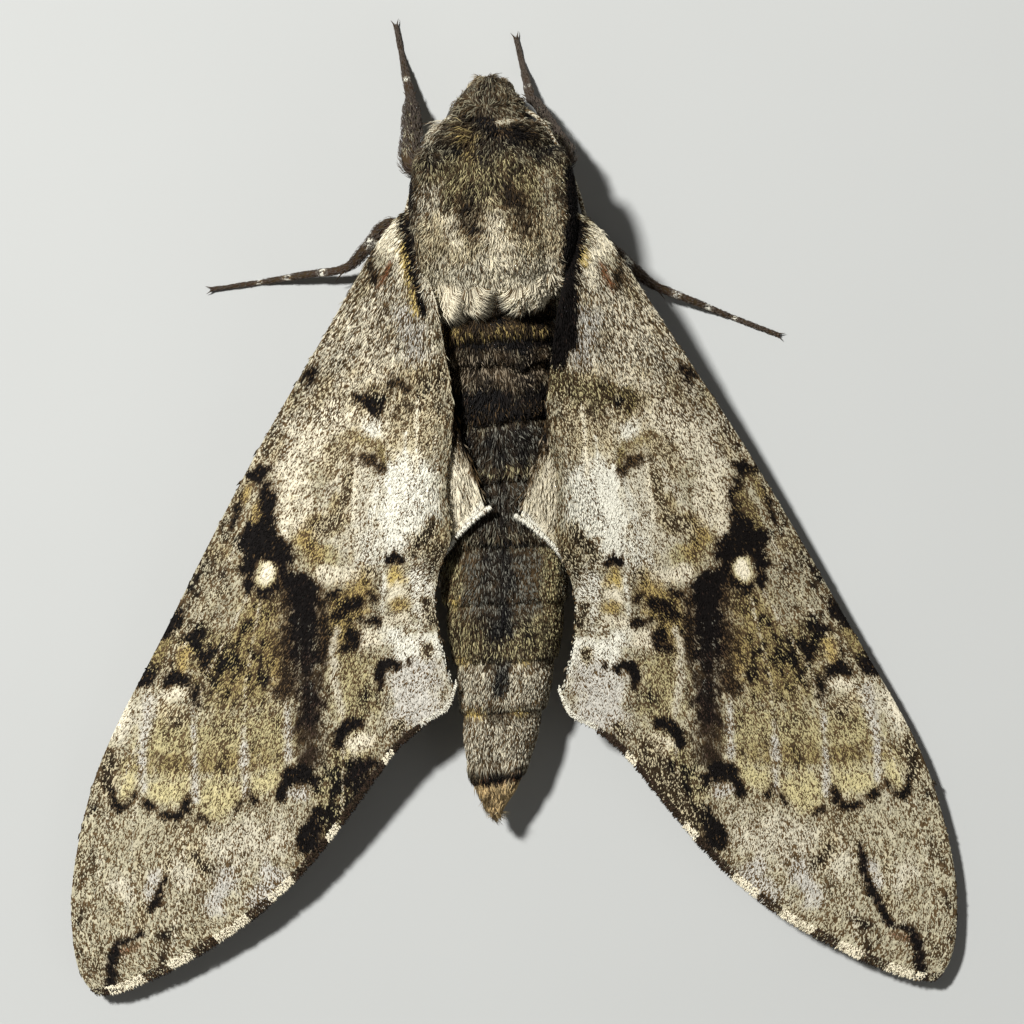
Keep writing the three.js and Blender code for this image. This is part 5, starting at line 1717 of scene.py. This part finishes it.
class MOTH_OT_body_hair(bpy.types.Operator):
    """Cover the body with hair, zone by zone, with pale locks behind the thorax"""

    bl_idname = "moth.body_hair"
    bl_label = "Body hair"

    def execute(self, context):
        skin = bpy.data.objects["body_skin"].data
        width = settings("coat").hair_width
        for number, (name, slot, front, rear, count, length, *rest) in enumerate(COAT_ZONES):
            def wanted(places, normals, front=front, rear=rear):
                inside = (places[:, 1] > front) & (places[:, 1] < rear)
                return inside * (1 + 1.3 * np.clip(normals[:, 2], -0.4, 1))

            seed = SEED + 30 + number
            roots, normals = skin_scatter(skin, count, seed, wanted)
            add_coat(name, slot, roots, normals, coat_lie(roots), (length, width, *rest), seed)
        self.add_locks(skin, width)
        self.add_brows(skin, width)
        return {"FINISHED"}

    def add_locks(self, skin, width):
        """Long pale locks that fan out and curl over the thorax's rear edge."""
        middles = np.array([middle for middle, _ in REAR_LOCKS])
        aims = np.array([aim for _, aim in REAR_LOCKS])

        def gaps(places):
            return np.linalg.norm(places[:, None, :2] - middles[None], axis=2)

        def wanted(places, normals):
            return (gaps(places).min(axis=1) < LOCK_REACH) * (normals[:, 2] > 0.1)

        roots, normals = skin_scatter(skin, LOCK_HAIRS, SEED + 50, wanted)
        nearest = gaps(roots).argmin(axis=1)
        across = (roots[:, :2] - middles[nearest]) / LOCK_REACH
        lies = columns(*(aims[nearest] + across * (1.2, 0.4)).T, 0.1)
        measures = (2.4 - 0.6 * np.abs(across[:, 0]), width * 1.1, 0.44, 0.40, 0.12)
        add_coat("rear_locks", "body_fur", roots, normals, lies, measures, SEED + 50)

    def add_brows(self, skin, width):
        """Hair that fills the face between the palps and the sides over the eyes and the antennae's feet."""
        def face(places, normals):
            x, y, z = places.T
            return (np.abs(x) < 1.3) * (y < -31.8) * (z > 6.5)

        def beside(places, normals):
            x, y, z = places.T
            return (np.abs(x) > 1.2) * (y > -32.4) * (y < -28.8) * (z > 8.8)

        roots, normals = skin_scatter(skin, FACE_HAIRS, SEED + 51, face)
        lies = columns(-0.3 * roots[:, 0], -1, 0.3)
        add_coat("face_hair", "body_fur", roots, normals, lies, (0.9, width, 0.55, 0.45, 0.20), SEED + 51)
        roots, normals = skin_scatter(skin, BROW_HAIRS, SEED + 52, beside)
        lies = columns(0.9 * np.sign(roots[:, 0]), 0.6, -0.2)
        add_coat("brow_hair", "body_fur", roots, normals, lies, (1.3, width, 0.62, 0.40, 0.35), SEED + 52)


class MOTH_OT_wing_sheets(bpy.types.Operator):
    """Stretch the membranes of the four wings, with their veins"""

    bl_idname = "moth.wing_sheets"
    bl_label = "Wing membranes"

    def execute(self, context):
        for wing in wings():
            for side_name, side in SIDES.items():
                name = f"{wing.kind}_{side_name}"
                mesh = wing_sheet(wing, side, name)
                add_piece(name, mesh, skin_material(f"{wing.kind}_skin", (4.0, 9.5)), wing.slot, name)
        return {"FINISHED"}


class MOTH_OT_wing_scales(bpy.types.Operator):
    """Lay scale tufts over both faces of the wings"""

    bl_idname = "moth.wing_scales"
    bl_label = "Wing scales"

    def execute(self, context):
        fore, hind = wings()
        half = settings("coat").wing_scales
        for number, (side_name, side) in enumerate(SIDES.items()):
            seed = SEED + 100 + 10 * number
            s, t = fore.scatter(2 * half, np.random.default_rng(seed))
            for part, rows in (("inner", slice(0, half)), ("outer", slice(half, 2 * half))):
                name = f"forewing_{side_name}_scales_{part}"
                add_scales(fore, side, name, s[rows], t[rows], seed + len(part))
            add_under_scales(fore, side, f"forewing_{side_name}_under_scales", seed + 2)
            s, t = hind.scatter(HINDWING_SCALES, np.random.default_rng(seed + 3))
            add_scales(hind, side, f"hindwing_{side_name}_scales", s, t, seed + 4)
            add_under_scales(hind, side, f"hindwing_{side_name}_under_scales", seed + 6)
        return {"FINISHED"}


class MOTH_OT_wing_fringes(bpy.types.Operator):
    """Edge the wings with their fringes"""

    bl_idname = "moth.wing_fringes"
    bl_label = "Wing fringes"

    def execute(self, context):
        for number, (side_name, side) in enumerate(SIDES.items()):
            seed = SEED + 130 + 10 * number
            for step, wing in enumerate(wings()):
                add_fringe(wing, side, f"{wing.kind}_{side_name}_fringe", seed + step)
        return {"FINISHED"}


class MOTH_OT_legs(bpy.types.Operator):
    """Draw the six legs with their spurs, claws and scales"""

    bl_idname = "moth.legs"
    bl_label = "Legs"

    def execute(self, context):
        for number, name in enumerate(LEGS):
            add_leg(name, number)
        return {"FINISHED"}


class MOTH_OT_feelers(bpy.types.Operator):
    """Draw the antennae"""

    bl_idname = "moth.feelers"
    bl_label = "Antennae"

    def execute(self, context):
        for number, (side_name, side) in enumerate(SIDES.items()):
            add_antenna(side_name, side, number)
        return {"FINISHED"}


class MOTH_OT_eyes(bpy.types.Operator):
    """Set the two compound eyes"""

    bl_idname = "moth.eyes"
    bl_label = "Eyes"

    def execute(self, context):
        for side_name, side in SIDES.items():
            add_eye(side_name, side)
        return {"FINISHED"}


class MOTH_OT_tongue(bpy.types.Operator):
    """Coil the tongue under the head"""

    bl_idname = "moth.tongue"
    bl_label = "Tongue"

    def execute(self, context):
        add_tongue()
        return {"FINISHED"}


OPERATORS = (
    MOTH_OT_stage, MOTH_OT_body_skin, MOTH_OT_body_hair, MOTH_OT_wing_sheets, MOTH_OT_wing_scales,
    MOTH_OT_wing_fringes, MOTH_OT_legs, MOTH_OT_feelers, MOTH_OT_eyes, MOTH_OT_tongue,
)


class MOTH_PT_panel(bpy.types.Panel):
    """Lists the moth's operators and settings"""

    bl_label = "Hawk moth"
    bl_idname = "MOTH_PT_panel"
    bl_space_type = "VIEW_3D"
    bl_region_type = "UI"
    bl_category = "Moth"

    def draw(self, context):
        for operator in OPERATORS:
            self.layout.operator(operator.bl_idname)
        for name in SETTINGS:
            group = settings(name)
            box = self.layout.box()
            for field in group.bl_rna.properties.keys():
                if field not in ("rna_type", "name"):
                    box.prop(group, field)


SETTINGS = {"colours": MothColours, "coat": MothCoat, "stage": MothStage}
CLASSES = (*SETTINGS.values(), *OPERATORS, MOTH_PT_panel)


def register():
    for item in CLASSES:
        bpy.utils.register_class(item)
    for name, group in SETTINGS.items():
        setattr(bpy.types.Scene, f"hawk_moth_{name}", PointerProperty(type=group))


def unregister():
    for name in SETTINGS:
        delattr(bpy.types.Scene, f"hawk_moth_{name}")
    for item in reversed(CLASSES):
        bpy.utils.unregister_class(item)


def main():
    register()
    for operator in OPERATORS:
        group, name = operator.bl_idname.split(".")
        getattr(getattr(bpy.ops, group), name)()


if __name__ == "__main__":
    main()
